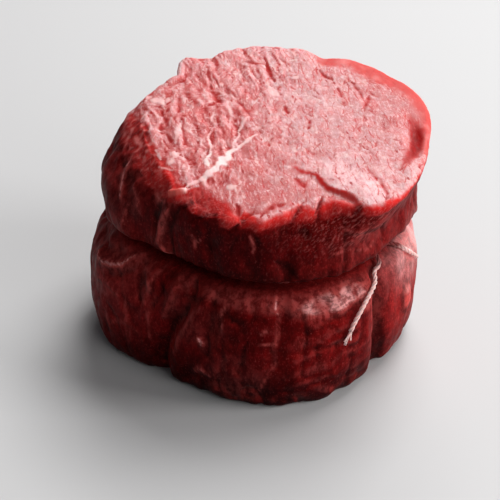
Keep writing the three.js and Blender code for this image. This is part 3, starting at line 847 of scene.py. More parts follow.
meat_mesh.verts.index_update()
edge_from, edge_to = np.array([[vertex.index for vertex in edge.verts] for edge in meat_mesh.edges]).T
neighbours = np.bincount(np.concatenate([edge_from, edge_to]))
HOLLOW_ROUNDS, LIGHT_ROUNDS = 14, 60
TOWARD_KEY = Vector((0.28, 0.34, 0.76)).normalized()
# These two measures drive painted shade in hollows and on slopes turned from the key light, and painted
# highlight on tops and on slopes turned to it.
hollow = smoothed(relief, HOLLOW_ROUNDS) - relief  # how far a place lies under those about it, in mm
lit = np.array([v.normal for v in meat_mesh.verts]) @ np.array(TOWARD_KEY)
turned_to_light = lit - smoothed(lit, LIGHT_ROUNDS)
print("hollows up to", hollow.max().round(2), "mm, tops up to", -hollow.min().round(2), "mm")

# %% A mesh becomes a piece
def piece_from(mesh, name, node):
    """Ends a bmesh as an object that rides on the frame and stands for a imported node."""
    data = bpy.data.meshes.new(name)
    mesh.to_mesh(data)
    mesh.free()
    data.polygons.foreach_set("use_smooth", [True] * len(data.polygons))
    made = bpy.data.objects.new(name, data)
    scene.collection.objects.link(made)
    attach(made, "root")
    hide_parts(node)
    print(name, "has", sum(len(p.vertices) - 2 for p in data.polygons), "triangles")
    return made


def keep_share(piece, name, values):
    """Keeps one number on each vertex, for the finish to read."""
    layer = piece.data.attributes.new(name, "FLOAT", "POINT")
    layer.data.foreach_set("value", np.clip(values, 0, 1).astype(np.float32))


meat = piece_from(meat_mesh, "meat", "tenderloin")

# %% [markdown]
# ## Painting the meat
# The large colours follow the forms above, so they are painted on the vertices, one layer over the
# other: first the dark outside of the muscle, then the cut, its fat and its edges. Some layers are
# painted light and shade: shade in hollows, creases and on the front, light on tops and on the right,
# and a pale sheen on the cut. What is finer than the mesh is left to the shader.

# %% Laying one colour over another
def tone(red, green, blue):
    """A colour as it is picked on a screen, from 0 to 255, as the shader wants it."""
    line = [c / 255 for c in (red, green, blue)]
    return (*[c / 12.92 if c <= 0.04045 else ((c + 0.055) / 1.055) ** 2.4 for c in line], 1.0)


def laid(under, over, share):
    return under + (np.array(over) - under) * np.clip(share, 0, 1)[:, None]


def in_layers(under, layers):
    """Lays each picked colour over the ones before it, by its share."""
    for colour, share in layers:
        under = laid(under, tone(*colour), share)
    return under


def all_over(colour):
    return np.tile(tone(*colour), (len(x), 1))


# %% The outside of the muscle
# Cracks, and painted shade: the cut is painted deep red in its cracks, and also in hollows and on slopes
# turned from the key light.
cracks_and_painted_shade = np.maximum.reduce([
    np.minimum(1.3 * crack, 1), 0.95 * smooth_step(0.005, 0.12, hollow),
    0.8 * smooth_step(0.02, 0.18, -turned_to_light),
])
cracks_and_painted_shade = cracks_and_painted_shade * cut * (1 - fat)
broad = hills(form, 9, 23)
patches = hills(form, 3.5, 24)
# Painted shade: the front of the upper tier, turned from the lights, is painted darker.
painted_front_shade = around(258, 32) * smooth_step(34, 40, z)
# Painted shade: darker towards the foot, most at the front.
painted_foot_shade = smooth_step(19, 4, z - 4 * broad) * around(270, 75)
# Painted light: the right side, facing the right lamp, is painted lighter.
painted_right_light = around(325, 34)
gland = around(GLAND_TURN, 2.2) * bell(z - GLAND_HEIGHT, 2.7)
# Painted highlight on the top of the gland.
painted_gland_highlight = around(GLAND_TURN, 1.3) * bell(z - GLAND_HEIGHT - 2.2, 0.7)
paint = in_layers(all_over((92, 5, 7)), [
    ((120, 11, 12), 0.4 + 0.5 * broad + 0.3 * patches),
    ((150, 20, 19), 0.25 * painted_right_light),
    # painted light: the right lobe below the crease is painted a brighter red
    ((186, 40, 38), 0.5 * around(340, 13) * smooth_step(35, 31, z)),
    # painted shade: the front of the lower tier is painted darker
    ((62, 3, 5), 0.5 * around(258, 20) * smooth_step(31, 25, z)),
    # painted light: the upper left of the lower tier, under the crease, is painted lighter
    ((128, 24, 24), 0.4 * around(204, 20) * smooth_step(37, 33, z)),
    ((64, 1, 3), 0.85 * painted_front_shade),
    ((26, 0, 1), 0.92 * painted_foot_shade),
    # painted shade in the grooves of the folds and creases
    ((40, 1, 1), 0.8 * painted_fold_shade * side_part),
    # painted shade in hollows and painted highlight on tops
    ((40, 1, 1), 0.7 * smooth_step(0.05, 0.4, hollow)),
    ((160, 34, 32), 0.35 * smooth_step(0.05, 0.4, -hollow)),
    # painted light and shade on slopes turned to and from the key light
    ((140, 30, 28), 0.5 * smooth_step(0.02, 0.2, turned_to_light) * (1 - 0.7 * painted_front_shade)),
    ((38, 1, 1), 0.6 * smooth_step(0.02, 0.22, -turned_to_light)),
    # painted shade under the front of the upper tier
    ((36, 1, 1), 0.7 * bell(z - 37.6, 2.4) * around(262, 45)),
    # painted light on the lower tier's shoulder just under the crease
    ((132, 30, 28), 0.4 * bell(z - 32.6, 1.6) * around(250, 60)),
    # painted shade in the crease
    ((60, 3, 4), 0.6 * bell(from_waist, 1.2)),
    # painted light in the crease at the left
    ((126, 30, 29), 0.5 * bell(z - 34.5, 4) * around(196, 12)),
    # painted shade round the edge of the gland
    ((84, 10, 10), 0.75 * smooth_step(0.06, 0.2, gland) * smooth_step(0.5, 0.3, gland)),
    ((206, 66, 62), 0.85 * smooth_step(0.35, 0.6, gland)),
    ((240, 176, 170), 0.6 * painted_gland_highlight),
])

# %% The cut
# Painted sheen: the right part of the cut is painted paler, as light from behind gleams on it, and the raised
# slab behind the ledge is painted paler still.
painted_sheen_part = smooth_step(-14, 12, x + 0.25 * y + 3 * wander[:, 1])
slab_sheen_part = smooth_step(0, 1, behind_ledge) * smooth_step(16, 6, behind_ledge)
slab_sheen_part *= smooth_step(0.1, 0.5, ledge_along)
far_right = smooth_step(16, 34, x) * smooth_step(-12, 6, y)
# Painted highlight: tops of the relief and slopes turned to the key light are painted paler.
painted_top_highlight = np.maximum(smooth_step(0.01, 0.14, -hollow), smooth_step(0.02, 0.16, turned_to_light))
cut_paint = in_layers(all_over((196, 96, 94)), [
    ((208, 156, 157), painted_sheen_part),
    ((232, 196, 198), slab_sheen_part * painted_sheen_part),
    ((192, 112, 112), 0.75 * far_right),
    ((190, 62, 60), 0.6 * near_spot(-14, -25, 8)),
    ((190, 96, 95), 0.6 * near_spot(4, -26, 9)),
    ((220, 176, 176), 0.45 * smooth_step(0.0, 0.6, patches + 0.4 * broad) * (1 - 0.4 * far_right)),
    ((194, 76, 73), 0.6 * smooth_step(0.0, 0.6, -patches) * (1 - 0.5 * painted_sheen_part) * (1 - slab_sheen_part)),
    ((226, 188, 188), 0.6 * painted_top_highlight),
    ((190, 60, 58), 0.3 * seam),
    # the red of the cracks, and painted shade in hollows and on slopes turned from the light
    ((186, 34, 32), cracks_and_painted_shade),
    ((164, 16, 15), 0.8 * smooth_step(0.6, 1.0, cracks_and_painted_shade)),
])

# %% The edge, the ledge and the pocket
red_paint = laid(all_over((212, 30, 26)), tone(150, 12, 11), smooth_step(0.1, 1.0, red_depth))
red_paint = in_layers(red_paint, [
    ((146, 24, 24), 0.8 * around(236, 9) * on_face),
    ((160, 34, 31), 0.7 * shoulder),
    ((214, 120, 116), 0.8 * shoulder * smooth_step(0.05, 0.5, shiver[:, 1] + 0.4 * patches)),
    ((104, 12, 13), 0.7 * shoulder * smooth_step(0.05, 0.5, -shiver[:, 1] - 0.4 * patches)),
    ((100, 5, 6), smooth_step(-0.3, 0.6, ragged_from_rim - dark_start)),
])
cut_paint = np.where(on_foot[:, None], cut_paint, laid(red_paint, cut_paint, pale))
fading = np.where(on_foot, 1, smooth_step(2.6, -0.3, ragged_from_rim - dark_start) * (from_rim < 8))
paint = laid(paint, cut_paint, np.maximum(fading, lower_cut))
paint = laid(paint, tone(76, 5, 7), 0.8 * notch * (from_rim > -0.6))
lip_paint = laid(all_over((206, 76, 72)), tone(220, 116, 112), smooth_step(0.0, 0.7, patches))
paint = laid(paint, lip_paint, 0.92 * lip)
ledge_red = bell(behind_ledge - 0.05 + 0.7 * shiver[:, 1], 0.38 + 0.16 * shiver[:, 2])
ledge_red *= smooth_step(0.0, 0.12, ledge_along) * upper_cut * on_face
# Pale film on the top of the right lobe, with a painted sheen of the right light over it.
lobe_film_and_sheen = around(351, 11) * bell(z - 30.5, 4.6) * side_part
nub_top = smooth_step(0.2, 0.6, nub)
paint = in_layers(paint, [
    ((200, 36, 34), 0.95 * ledge_red),
    # the pocket and the dip round it are painted deeper red: partly the pocket's own colour, partly painted
    # shade, darkest at its lower left
    ((182, 58, 56), 0.9 * pocket_edge),
    ((160, 10, 10), pocket),
    ((140, 12, 12), 0.8 * pocket * smooth_step(0.6, -0.8, pocket_across + 0.35 * (y - POCKET[1]))),
    ((190, 76, 73), 0.8 * near_spot(19.5, -30, 2.6) * (1 - slab_sheen_part) * on_face),
    ((238, 174, 172), 1.5 * lobe_film_and_sheen * (0.55 + 0.45 * torn)),
    ((236, 200, 198), 0.8 * thread),
    ((232, 184, 182), 0.9 * fat),
    ((250, 224, 222), smooth_step(0.6, 1.0, fat) * near_spot(-10, -15, 5)),
    ((214, 92, 84), nub_top),
    ((244, 196, 190), nub_top * smooth_step(0.3, -0.5, from_rim) * smooth_step(0.35, 0.75, nub_along)),
])

# %% Paint and shares onto the vertices
paint_layer = meat.data.attributes.new("paint", "FLOAT_COLOR", "POINT")
paint_layer.data.foreach_set("color", np.clip(paint, 0, 1).astype(np.float32).ravel())
# Painted glints: fine pale fibre lines on the upper right side and on the deep red edge of the cut, for light
# glinting on wet fibres.
painted_glint_part = 0.8 * around(300, 16) * smooth_step(42, 50, z) * (1 - upper_cut) * on_side
painted_glint_part += upper_cut * (1 - pale)
# Where the cut stays pale, which is partly painted sheen.
still_pale_and_sheen = pale * (1 - cracks_and_painted_shade) * (1 - pocket_edge) * (1 - lip) * (1 - ledge_red) * (1 - nub)
SHARES = {
    "cut_share": cut,
    "plain_share": 0.9 * np.maximum.reduce([fat, 0.8 * lip, nub, ledge_red]),
    "film_and_sheen_share": film_and_sheen,
    "rough_share": rough_part,
    "pale_and_sheen_share": np.where(on_foot, 1, still_pale_and_sheen),
    "wet_share": np.where(on_foot, 1, np.maximum(pale, lip)),
    "painted_glint_share": painted_glint_part,
}
for name, share in SHARES.items():
    keep_share(meat, name, share)

# %% [markdown]
# ## Twine
# Butcher's twine is three plies of soft cotton twisted together, about 1.2 mm thick. Its route is the
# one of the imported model: a band in the crease, a knot at the front right, a long end that hangs down
# the lower tier with a frayed tip, and a short end to the right. Each ply is a thin curve that winds
# round the route, because a real twist catches the light as no bump can.

# %% Points over the side of the meat
def over_side(turn, place, lift):
    """A point over the meat's side, lifted square off it."""
    turns = np.array([turn, turn, turn, turn + 0.5, turn - 0.5], float)
    places = np.array([place, min(LAST_RING, place + 0.05), max(0, place - 0.05), place, place], float)
    here, above, below, further, nearer = side(turns, places)
    square = np.cross(further - nearer, above - below)
    return here + square / np.linalg.norm(square) * lift


TWINE_RADIUS, TWINE_GAP = 0.6, 0.4
KNOT_TURN, KNOT_RADIUS = 328, 1.15
# Degrees, place along the rings, lift in mm.
LONG_END = [
    (KNOT_TURN, 8, 1.6), (325.5, 7.2, 1.35), (324.3, 5.95, 1.2), (323.7, 5.5, 1.15), (321, 5.25, 1.1),
    (316.3, 4.95, 1.0), (310, 4.6, 1.0), (304.5, 4.1, 1.0), (301.8, 3.75, 1.0),
]
SHORT_END = [
    (KNOT_TURN, 8, 1.6), (332, 7.2, 1.35), (335.5, 6, 1.2), (338, 5.55, 1.1), (342, 4.95, 1.0),
    (347.5, 4.4, 0.9),
]
band_route = np.array([over_side(t, WAIST_RING, TWINE_RADIUS + TWINE_GAP) for t in np.arange(0, 360, 6)])
long_route = np.array([over_side(*point) for point in LONG_END])
short_route = np.array([over_side(*point) for point in SHORT_END])

# %% A smooth line through a route
def smooth_line(route, step, closed=False):
    """Points every step mm on a smooth curve through the route."""
    if closed:
        ends = np.concatenate([route[-1:], route, route[:2]])
    else:
        ends = np.concatenate([2 * route[:1] - route[1:2], route, 2 * route[-1:] - route[-2:-1]])
    dense = []
    for a, b, c, d in zip(ends, ends[1:], ends[2:], ends[3:]):
        for u in np.linspace(0, 1, 24, endpoint=False):
            square, cube_part = (2 * a - 5 * b + 4 * c - d) * u**2, (3 * b - a - 3 * c + d) * u**3
            dense.append(0.5 * (2 * b + (c - a) * u + square + cube_part))
    dense.append(dense[0] if closed else route[-1])
    dense = np.array(dense)
    walk = np.concatenate([[0], np.cumsum(np.linalg.norm(np.diff(dense, axis=0), axis=1))])
    marks = np.linspace(0, walk[-1], round(walk[-1] / step) + 1)
    if closed:
        marks = marks[:-1]
    return np.stack([np.interp(marks, walk, dense[:, k]) for k in range(3)], axis=-1), walk[-1]


LINE_STEP = 0.3
band_line, band_length = smooth_line(band_route, LINE_STEP, closed=True)
long_line, long_length = smooth_line(long_route, LINE_STEP)
short_line, short_length = smooth_line(short_route, LINE_STEP)
print("twine: band", round(band_length), "mm, ends", round(long_length), "and", round(short_length), "mm")

# %% Plies wound round a line
PLY_COUNT = 3
PLY_RADIUS = 0.3
PLY_OUT = 0.31  # from the twine's middle to a ply's
TWIST = 4.6  # mm of twine to one turn


def plies_round(line, closed=False):
    """The three plies' own lines."""
    ahead = np.roll(line, -1, axis=0) - np.roll(line, 1, axis=0)
    if not closed:
        ahead[0], ahead[-1] = line[1] - line[0], line[-1] - line[-2]
    ahead /= np.linalg.norm(ahead, axis=1)[:, None]
    out = line * (1, 1, 0)
    out -= ahead * (ahead * out).sum(axis=1)[:, None]
    out /= np.linalg.norm(out, axis=1)[:, None]
    aside = np.cross(ahead, out)
    step = np.linalg.norm(line[1] - line[0])
    turns = len(line) * step / TWIST
    turns = round(turns) if closed else turns
    bend = 2 * np.pi * turns * np.arange(len(line)) / len(line)
    made = []
    for ply in range(PLY_COUNT):
        phase = (bend + 2 * np.pi * ply / PLY_COUNT)[:, None]
        made.append(line + (np.cos(phase) * out + np.sin(phase) * aside) * PLY_OUT)
    return made


# %% [markdown]
# The knot is the twine wrapped twice round itself, close and tight. At the long end the plies come
# apart like a small brush, and each ends in a few loose fibres.

# %% The knot and the frayed tip
knot_middle = over_side(KNOT_TURN, WAIST_RING, KNOT_RADIUS + 1.5 * TWINE_GAP)
knot_out = np.array([math.cos(math.radians(KNOT_TURN)), math.sin(math.radians(KNOT_TURN)), 0])
knot_along = np.array([-knot_out[1], knot_out[0], 0])
KNOT_WRAPS = 2.3
knot_line = []
for share in np.linspace(0, 1, 60):
    bend = 2 * np.pi * KNOT_WRAPS * share
    wrap = math.cos(bend) * knot_out + math.sin(bend) * np.array([0, 0, 1])
    knot_line.append(knot_middle + 0.72 * wrap + (share - 0.5) * 2.1 * knot_along)
knot_line = np.array(knot_line)

rng = np.random.default_rng(7)
tip, heading = long_line[-1], long_line[-1] - long_line[-4]
heading /= np.linalg.norm(heading)
tip_out = tip * (1, 1, 0) / np.linalg.norm(tip[:2])
tip_aside = np.cross(heading, tip_out)
FRAY_LENGTH, FRAY_RADIUS = 3.6, 0.24
LOOSE_POINTS = 5  # the plies stop so many points short of the tip, where the strands take over
fray_lines = []
FRAY = ((-34, 0.7), (-27, 0.8), (-20, 0.7), (-8, 1.0), (-2, 1.1), (4, 1.1), (10, 1.05), (16, 0.9))
for turned, length in FRAY:
    bend = math.radians(turned + rng.uniform(-3, 3))
    way = math.cos(bend) * heading + math.sin(bend) * tip_aside
    curl = rng.uniform(-0.4, 0.4) * tip_aside + rng.uniform(-0.1, 0.2) * tip_out
    steps = np.linspace(0, 1, 8)[:, None] * FRAY_LENGTH * length
    root = tip - 1.6 * heading + 0.12 * rng.normal(size=3)
    fray_lines.append(root + steps * way + (steps / 3) ** 2 * curl * 0.5)
print(len(fray_lines), "strands at the tip")

# %% Tubes along the plies
def tubes(lines, radius, closed=False, taper=0.0):
    """Adds a tube round each line to the twine's mesh."""
    curve = bpy.data.curves.new("ply", "CURVE")
    curve.dimensions = "3D"
    curve.bevel_depth = radius * MM
    curve.bevel_resolution = 1
    curve.use_fill_caps = True
    for line in lines:
        spline = curve.splines.new("POLY")
        spline.points.add(len(line) - 1)
        spline.use_cyclic_u = closed
        for k, (point, place_on_line) in enumerate(zip(spline.points, (line + MIDDLE) * MM)):
            point.co = (*place_on_line, 1)
            point.radius = 1 - taper * k / len(line)
    holder = bpy.data.objects.new("ply", curve)
    scene.collection.objects.link(holder)
    made = bpy.data.meshes.new_from_object(holder.evaluated_get(bpy.context.evaluated_depsgraph_get()))
    twine_mesh.from_mesh(made)
    bpy.data.objects.remove(holder)
    bpy.data.curves.remove(curve)
    bpy.data.meshes.remove(made)


twine_mesh = bmesh.new()
tubes(plies_round(band_line, closed=True), PLY_RADIUS, closed=True)
for line in (long_line[:-LOOSE_POINTS], short_line, knot_line):
    tubes(plies_round(line), PLY_RADIUS)
tubes(fray_lines, FRAY_RADIUS, taper=0.5)
bmesh.ops.remove_doubles(twine_mesh, verts=twine_mesh.verts, dist=1e-7)
bmesh.ops.recalc_face_normals(twine_mesh, faces=twine_mesh.faces)
twine = piece_from(twine_mesh, "twine", "twine")

# %% How clean the twine is, and where the crease shades it
twine_points = np.array([vertex.co for vertex in twine.data.vertices]) / MM
from_crease = np.abs(twine_points[:, 2] - WAIST)
keep_share(twine, "clean_and_lit_share", smooth_step(1.2, 4.0, from_crease))

# %% [markdown]
# ## Shader sums
# A finish is a set of nodes, and most of what they do is arithmetic. Written as Python it stays
# readable: the class below wraps one socket, and adding or multiplying it adds the Math node.
# Colours go through Mix nodes, because a Math node would turn them grey.

# %% A socket that can be reckoned with
class Flow:
    """One output socket, with the finish that it belongs to."""

    def __init__(self, finish, socket):
        self.finish, self.socket = finish, socket

    def sum(self, operation, first, second, clamp=False):
        settings = {"operation": operation, "use_clamp": clamp}
        return self.finish.node("ShaderNodeMath", settings, {0: first, 1: second})

    def __add__(self, other):
        return self.sum("ADD", self, other)

    def __sub__(self, other):
        return self.sum("SUBTRACT", self, other)

    def __rsub__(self, other):
        return self.sum("SUBTRACT", other, self)

    def __mul__(self, other):
        return self.sum("MULTIPLY", self, other)

    def size(self):
        """The same number without its sign."""
        return self.sum("ABSOLUTE", self, 0.0)

    def kept(self):
        """The same number, held between 0 and 1."""
        return self.sum("MULTIPLY", self, 1.0, clamp=True)

    __radd__ = __add__
    __rmul__ = __mul__


# %% A finish and its nodes
class Finish:
    """A material whose nodes are made by one method."""

    def __init__(self, name):
        self.material = bpy.data.materials.new(name)
        self.material.use_nodes = True
        self.tree = self.material.node_tree
        self.skin = self.tree.nodes["Principled BSDF"]

    def node(self, kind, settings, inputs, output=0):
        made = self.tree.nodes.new(kind)
        for name, value in settings.items():
            setattr(made, name, value)
        for name, value in inputs.items():
            self.feed(made.inputs[name], value)
        return Flow(self, made.outputs[output])

    def feed(self, socket, value):
        if isinstance(value, Flow):
            self.tree.links.new(value.socket, socket)
        else:
            socket.default_value = value

    def set(self, skin=None, **values):
        """Gives a surface its numbers, colours and flows, by the names of its sockets."""
        for name, value in values.items():
            self.feed((skin or self.skin).inputs[name.replace("_", " ")], value)

    def second_skin(self):
        return self.tree.nodes.new("ShaderNodeBsdfPrincipled")

    def blend_skins(self, other, share):
        """Shows the finish's first surface by this share, and the other surface for the rest."""
        both = self.node("ShaderNodeMixShader", {}, {0: share})
        self.tree.links.new(other.outputs[0], both.socket.node.inputs[1])
        self.tree.links.new(self.skin.outputs[0], both.socket.node.inputs[2])
        self.tree.links.new(both.socket, self.tree.nodes["Material Output"].inputs["Surface"])

    def share(self, name):
        return self.node("ShaderNodeAttribute", {"attribute_name": name}, {}, output="Fac")

    def where(self):
        return self.node("ShaderNodeTexCoord", {}, {}, output="Object")

    def stretched(self, lengths, turned=(0, 0, 0)):
        """Places in a space that is longer along some of its axes, and can be turned."""
        inputs = {"Vector": self.where(), "Scale": lengths, "Rotation": turned}
        return self.node("ShaderNodeMapping", {"vector_type": "TEXTURE"}, inputs)

    def moved(self, where, by):
        return self.node("ShaderNodeVectorMath", {"operation": "ADD"}, {0: where, 1: by})

    def bent(self, where, size, by):
        """The same places, moved by soft noise of that size, by so many mm."""
        noise_at = {"Vector": where, "Scale": 1 / (size * MM), "Detail": 1.0}
        wind = self.node("ShaderNodeTexNoise", {}, noise_at, output="Color")
        centred = self.node("ShaderNodeVectorMath", {"operation": "SUBTRACT"}, {0: wind, 1: (0.5, 0.5, 0.5)})
        small = self.node("ShaderNodeVectorMath", {"operation": "SCALE"}, {0: centred, "Scale": by * MM})
        return self.moved(where, small)

    def grain(self, size, detail=2.0, rough=0.5, where=None):
        inputs = {"Vector": where or self.where(), "Scale": 1 / (size * MM)}
        return self.node("ShaderNodeTexNoise", {}, inputs | {"Detail": detail, "Roughness": rough})

    def ramp(self, flow, low, high):
        """0 below low, 1 above high, and smooth between."""
        inputs = {"Value": flow, "From Min": low, "From Max": high}
        return self.node("ShaderNodeMapRange", {"interpolation_type": "SMOOTHSTEP"}, inputs)

    def mix(self, share, first, second):
        return self.node("ShaderNodeMix", {"data_type": "RGBA"}, {0: share, 6: first, 7: second}, output=2)

    def in_layers(self, under, layers):
        """Lays each picked colour over the ones before it, by its share."""
        for colour, share in layers:
            under = self.mix(share, under, tone(*colour))
        return under

    def cells(self, where, size, feature="F1", output=0):
        inputs = {"Vector": where, "Scale": 1 / (size * MM)}
        return self.node("ShaderNodeTexVoronoi", {"feature": feature}, inputs, output)

    def band(self, flow, middle, half):
        """1 where the flow is at a value, and 0 from so far to either side of it."""
        return 1 - self.ramp((flow - middle).size(), 0.0, half)

    def bump(self, height, distance):
        return self.node("ShaderNodeBump", {}, {"Height": height, "Distance": distance * MM, "Strength": 1.0})


# %% [markdown]
# ## The finish of the meat
# The paint gives the large colours. The shader adds what is finer than the mesh: on the cut, the red
# lines between the bundles and the flecks of their fibres, whose pale flecks are strongest where the
# cut is painted with sheen, and on the outside a dark mottle, small pale specks that are painted
# glints, and the veil of silverskin with its painted sheen. Light goes a millimetre or two into the
# pale cut, which softens its shadows, and much less far into the dark outside. So the finish has two
# surfaces with their own scattering, and a share kept on each vertex blends them.

# %% The outside
beef = Finish("raw beef")
paint_flow = beef.node("ShaderNodeAttribute", {"attribute_name": "paint"}, {}, output="Color")
mottle = beef.grain(1.5, detail=5.0, rough=0.62, where=beef.stretched((1, 1, 1.7)))
# Small pale specks on the outside: painted glints of light on the wet surface.
glint_speck_places = beef.grain(5.0)
painted_glint_specks = beef.ramp(beef.cells(beef.where(), 1.6), 0.15, 0.07) * beef.ramp(glint_speck_places, 0.46, 0.6)
speckle = beef.grain(0.5, detail=3.0, rough=0.7, where=beef.stretched((1, 1, 1.7)))
mottled = (0.68 + 0.48 * beef.ramp(mottle, 0.34, 0.68)) * (0.74 + 0.46 * beef.ramp(speckle, 0.34, 0.66))
outside = beef.node("ShaderNodeVectorMath", {"operation": "SCALE"}, {0: paint_flow, "Scale": mottled})
outside = beef.in_layers(outside, [
    ((180, 92, 88), beef.ramp(speckle, 0.56, 0.72) * 0.16),
    ((190, 84, 78), painted_glint_specks * 0.22),
])
film_and_sheen_share = beef.share("film_and_sheen_share")
level_places = beef.bent(beef.stretched((2.6, 2.6, 0.55)), 3.0, 1.2)
level_streaks = beef.grain(0.9, detail=3.0, where=level_places)
in_streaks = 0.35 * beef.ramp(film_and_sheen_share, 0.45, 0.8)
veil_and_sheen = beef.ramp(mottle + in_streaks * (level_streaks - mottle), 0.40, 0.60)
film_and_sheen_tone = beef.mix(beef.ramp(film_and_sheen_share, 0.55, 1.0), tone(196, 88, 84), tone(228, 156, 153))
outside = beef.mix((film_and_sheen_share * (0.25 + 0.85 * veil_and_sheen)).kept(), outside, film_and_sheen_tone)

# %% The cut
grain_where = beef.bent(beef.stretched((1, 2.7, 2), turned=(0, 0, 0.2)), size=1.4, by=0.6)
grain_where = beef.bent(grain_where, size=0.5, by=0.22)
BUNDLE_SIZE = 1.9
beside = beef.moved(grain_where, (0.3 * MM, 0, 0))
bundle_border = beef.cells(grain_where, BUNDLE_SIZE, "DISTANCE_TO_EDGE")
bundle_tone, next_tone = (beef.cells(at, BUNDLE_SIZE, output="Color") for at in (grain_where, beside))
flecks = beef.grain(0.55, where=grain_where)
dots = beef.grain(0.26, rough=0.6)
open_places = beef.grain(2.2)
rough_share = beef.share("rough_share")
soft_edge = beef.ramp(bundle_border, 0.34, 0.0) * beef.ramp(open_places, 0.36, 0.66)
lines = beef.ramp((bundle_tone - next_tone).size(), 0.08, 0.3) * beef.ramp(open_places, 0.42, 0.56)
streaks = beef.grain(1.8, where=beef.stretched((1, 2.5, 2), turned=(0, 0, 0.25)))
streak_lines = beef.band(streaks, 0.5, 0.028)
streak_places = beef.grain(1.6, detail=1.0, where=beef.bent(beef.where(), 5.0, 3.0))
lines = (lines + 0.6 * streak_lines * beef.ramp(streak_places, 0.54, 0.60)).kept()
lines = lines * (1 - 0.4 * rough_share)
pit_where = beef.bent(beef.stretched((1, 2.4, 2), turned=(0, 0, 0.3)), size=1.6, by=0.8)
pits = beef.ramp(beef.cells(pit_where, 2.1), 0.20, 0.10) * beef.ramp(flecks, 0.40, 0.52)

strand_places = beef.grain(3.4, detail=1.5, where=beef.bent(beef.stretched((1, 2.9, 2)), 2.0, 0.6))
strands = beef.band(strand_places, 0.5, 0.018) * beef.ramp(open_places, 0.46, 0.6) * rough_share

cut_share = beef.share("cut_share")
pale_and_sheen_share = beef.share("pale_and_sheen_share")
# The pale layers below are strongest where the cut is painted pale, which is partly painted sheen.
pale_and_sheen_strength = 0.08 + 0.92 * pale_and_sheen_share
inside = beef.in_layers(paint_flow, [
    ((240, 202, 203), bundle_tone * 0.2 * pale_and_sheen_strength),
    ((208, 112, 111), soft_edge * 0.35 * pale_and_sheen_strength),
    ((202, 96, 94), beef.ramp(flecks, 0.48, 0.34) * 0.35 * pale_and_sheen_strength),
    ((244, 216, 217), beef.ramp(flecks, 0.52, 0.68) * 0.4 * pale_and_sheen_strength),
    ((204, 104, 102), beef.ramp(dots, 0.46, 0.30) * 0.35 * pale_and_sheen_strength),
    ((248, 226, 226), beef.ramp(dots, 0.54, 0.70) * 0.35 * pale_and_sheen_strength),
    ((196, 58, 56), lines * 0.65),
    ((176, 28, 27), pits * 0.85),
    ((246, 222, 220), strands * 0.5 * pale_and_sheen_strength),
])
# Painted glints: pale fibre lines where the painted glint share is set.
fibre_where = beef.bent(beef.stretched((0.8, 1, 3.2), turned=(0, 0.8, 0)), size=1.0, by=0.3)
fibre_glint_lines = beef.ramp(beef.grain(0.6, where=fibre_where), 0.50, 0.72)
colour = beef.mix(cut_share, outside, inside)
colour = beef.mix(fibre_glint_lines * beef.share("painted_glint_share") * 0.4, colour, tone(210, 110, 106))
plain = beef.mix(beef.ramp(flecks, 0.40, 0.70) * 0.25 * pale_and_sheen_strength, paint_flow, tone(250, 226, 224))
plain_share = beef.share("plain_share")
colour = beef.mix(plain_share, colour, plain)

# %% Relief finer than the mesh
cut_height = (0.4 * flecks - 0.4 * lines - 0.4 * pits) * cut_share * (1 - plain_share)
grain_height = cut_height + 1.4 * mottle * (1 - cut_share)
fine_relief = beef.bump(grain_height, 0.03)
wetness = beef.ramp(beef.grain(2.6, detail=3.0), 0.35, 0.7)

# %% The cut, where light goes deep, and the side, where it does not
beef.set(
    Base_Color=colour,
    Roughness=0.4 + 0.2 * wetness,
    Normal=fine_relief,
    Subsurface_Weight=1.0,
    Subsurface_Radius=(1.0, 0.07, 0.055),
    Subsurface_Scale=2.4 * MM,
    Specular_IOR_Level=0.08,
)
side_skin = beef.second_skin()
beef.set(
    side_skin,
    Base_Color=colour,
    Roughness=0.42 + 0.2 * wetness,
    Normal=fine_relief,
    Subsurface_Weight=0.4,
    Subsurface_Radius=(1.0, 0.2, 0.16),
    Subsurface_Scale=0.6 * MM,
    Specular_IOR_Level=0.025,
)
beef.blend_skins(side_skin, beef.share("wet_share"))
meat.data.materials.append(beef.material)
print("raw beef has", len(beef.tree.nodes), "nodes")

# %% [markdown]
# ## The finish of the twine
# The cotton is off-white where it is clean, and it has drawn up juice where it lies on the meat, so
# it turns pink and a little glossy there. In the crease it is also painted dark, as painted shade
# under the upper tier. Fine fibres run along it.

# %% Cotton, clean and stained, with painted shade in the crease
cotton = Finish("cotton twine")
clean_and_lit = cotton.share("clean_and_lit_share")
fibre = cotton.grain(0.22, detail=3.0, rough=0.7)
stain = cotton.grain(2.6)
dry = cotton.mix(cotton.ramp(fibre, 0.3, 0.7), tone(255, 180, 174), tone(255, 226, 221))
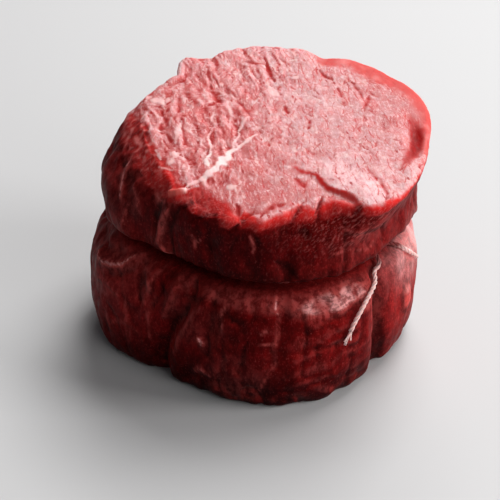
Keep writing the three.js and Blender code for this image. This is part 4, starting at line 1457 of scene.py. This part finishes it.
# Juice stain and painted shade: near the crease the cotton is painted dark maroon.
soaked_and_shaded = cotton.mix(cotton.ramp(fibre, 0.3, 0.7), tone(96, 16, 16), tone(140, 42, 40))
soak_and_shade_share = (cotton.ramp(stain, 0.5, 0.74) * 0.15 + (1 - clean_and_lit) * 0.95).kept()
cotton.set(
    Base_Color=cotton.mix(soak_and_shade_share, dry, soaked_and_shaded),
    Roughness=0.85 - 0.3 * soak_and_shade_share,
    Normal=cotton.bump(fibre, 0.08),
    Specular_IOR_Level=0.2,
    Subsurface_Weight=0.5,
    Subsurface_Radius=(1.0, 0.5, 0.45),
    Subsurface_Scale=0.4 * MM,
)
twine.data.materials.append(cotton.material)

# %% [markdown]
# ## The studio
# The photograph is lit from behind and from the right by one large soft light, with very little
# filling in from the front. Here that light puts only a faint sheen on the cut face, and most of its
# pale sheen is painted into the colour; it leaves the front left dark, which is painted darker as
# well. The floor is plain and pale.

# %% Floor and surround
floor_mesh = bmesh.new()
bmesh.ops.create_grid(floor_mesh, x_segments=1, y_segments=1, size=3.0)
floor_data = bpy.data.meshes.new("floor")
floor_mesh.to_mesh(floor_data)
floor_mesh.free()
floor = bpy.data.objects.new("floor", floor_data)
scene.collection.objects.link(floor)
PALE_GREY = (0.62, 0.62, 0.62, 1.0)
board = Finish("pale floor")
board.set(Base_Color=PALE_GREY, Roughness=0.7)
floor.data.materials.append(board.material)

surround = bpy.data.worlds.new("surround")
surround.use_nodes = True
background = surround.node_tree.nodes["Background"].inputs
background["Color"].default_value = (0.94, 0.95, 1.0, 1.0)
background["Strength"].default_value = 0.08
scene.world = surround
scene.view_settings.view_transform = "Standard"

# %% The lights
MEAT_MIDDLE = Vector((0, 0, 0.04))
LIGHT_TINT = (1.0, 0.99, 0.99)


def soft_light(name, where, width, height, power):
    """A square light, in metres and watts, that is aimed at the meat."""
    data = bpy.data.lights.new(name, "AREA")
    data.shape = "RECTANGLE"
    data.size, data.size_y = width, height
    data.energy = power
    data.color = LIGHT_TINT
    lamp = bpy.data.objects.new(name, data)
    lamp.location = where
    lamp.rotation_euler = (MEAT_MIDDLE - Vector(where)).to_track_quat("-Z", "Y").to_euler()
    scene.collection.objects.link(lamp)


soft_light("key", (0.28, 0.34, 0.80), 0.50, 0.45, 5.9)
soft_light("right", (0.80, -0.16, 0.34), 0.30, 0.45, 4.2)
soft_light("sheen", (0.16, 0.62, 0.66), 0.5, 0.3, 2.6)
soft_light("fill", (0.45, -0.62, 0.55), 0.6, 0.6, 2.2)
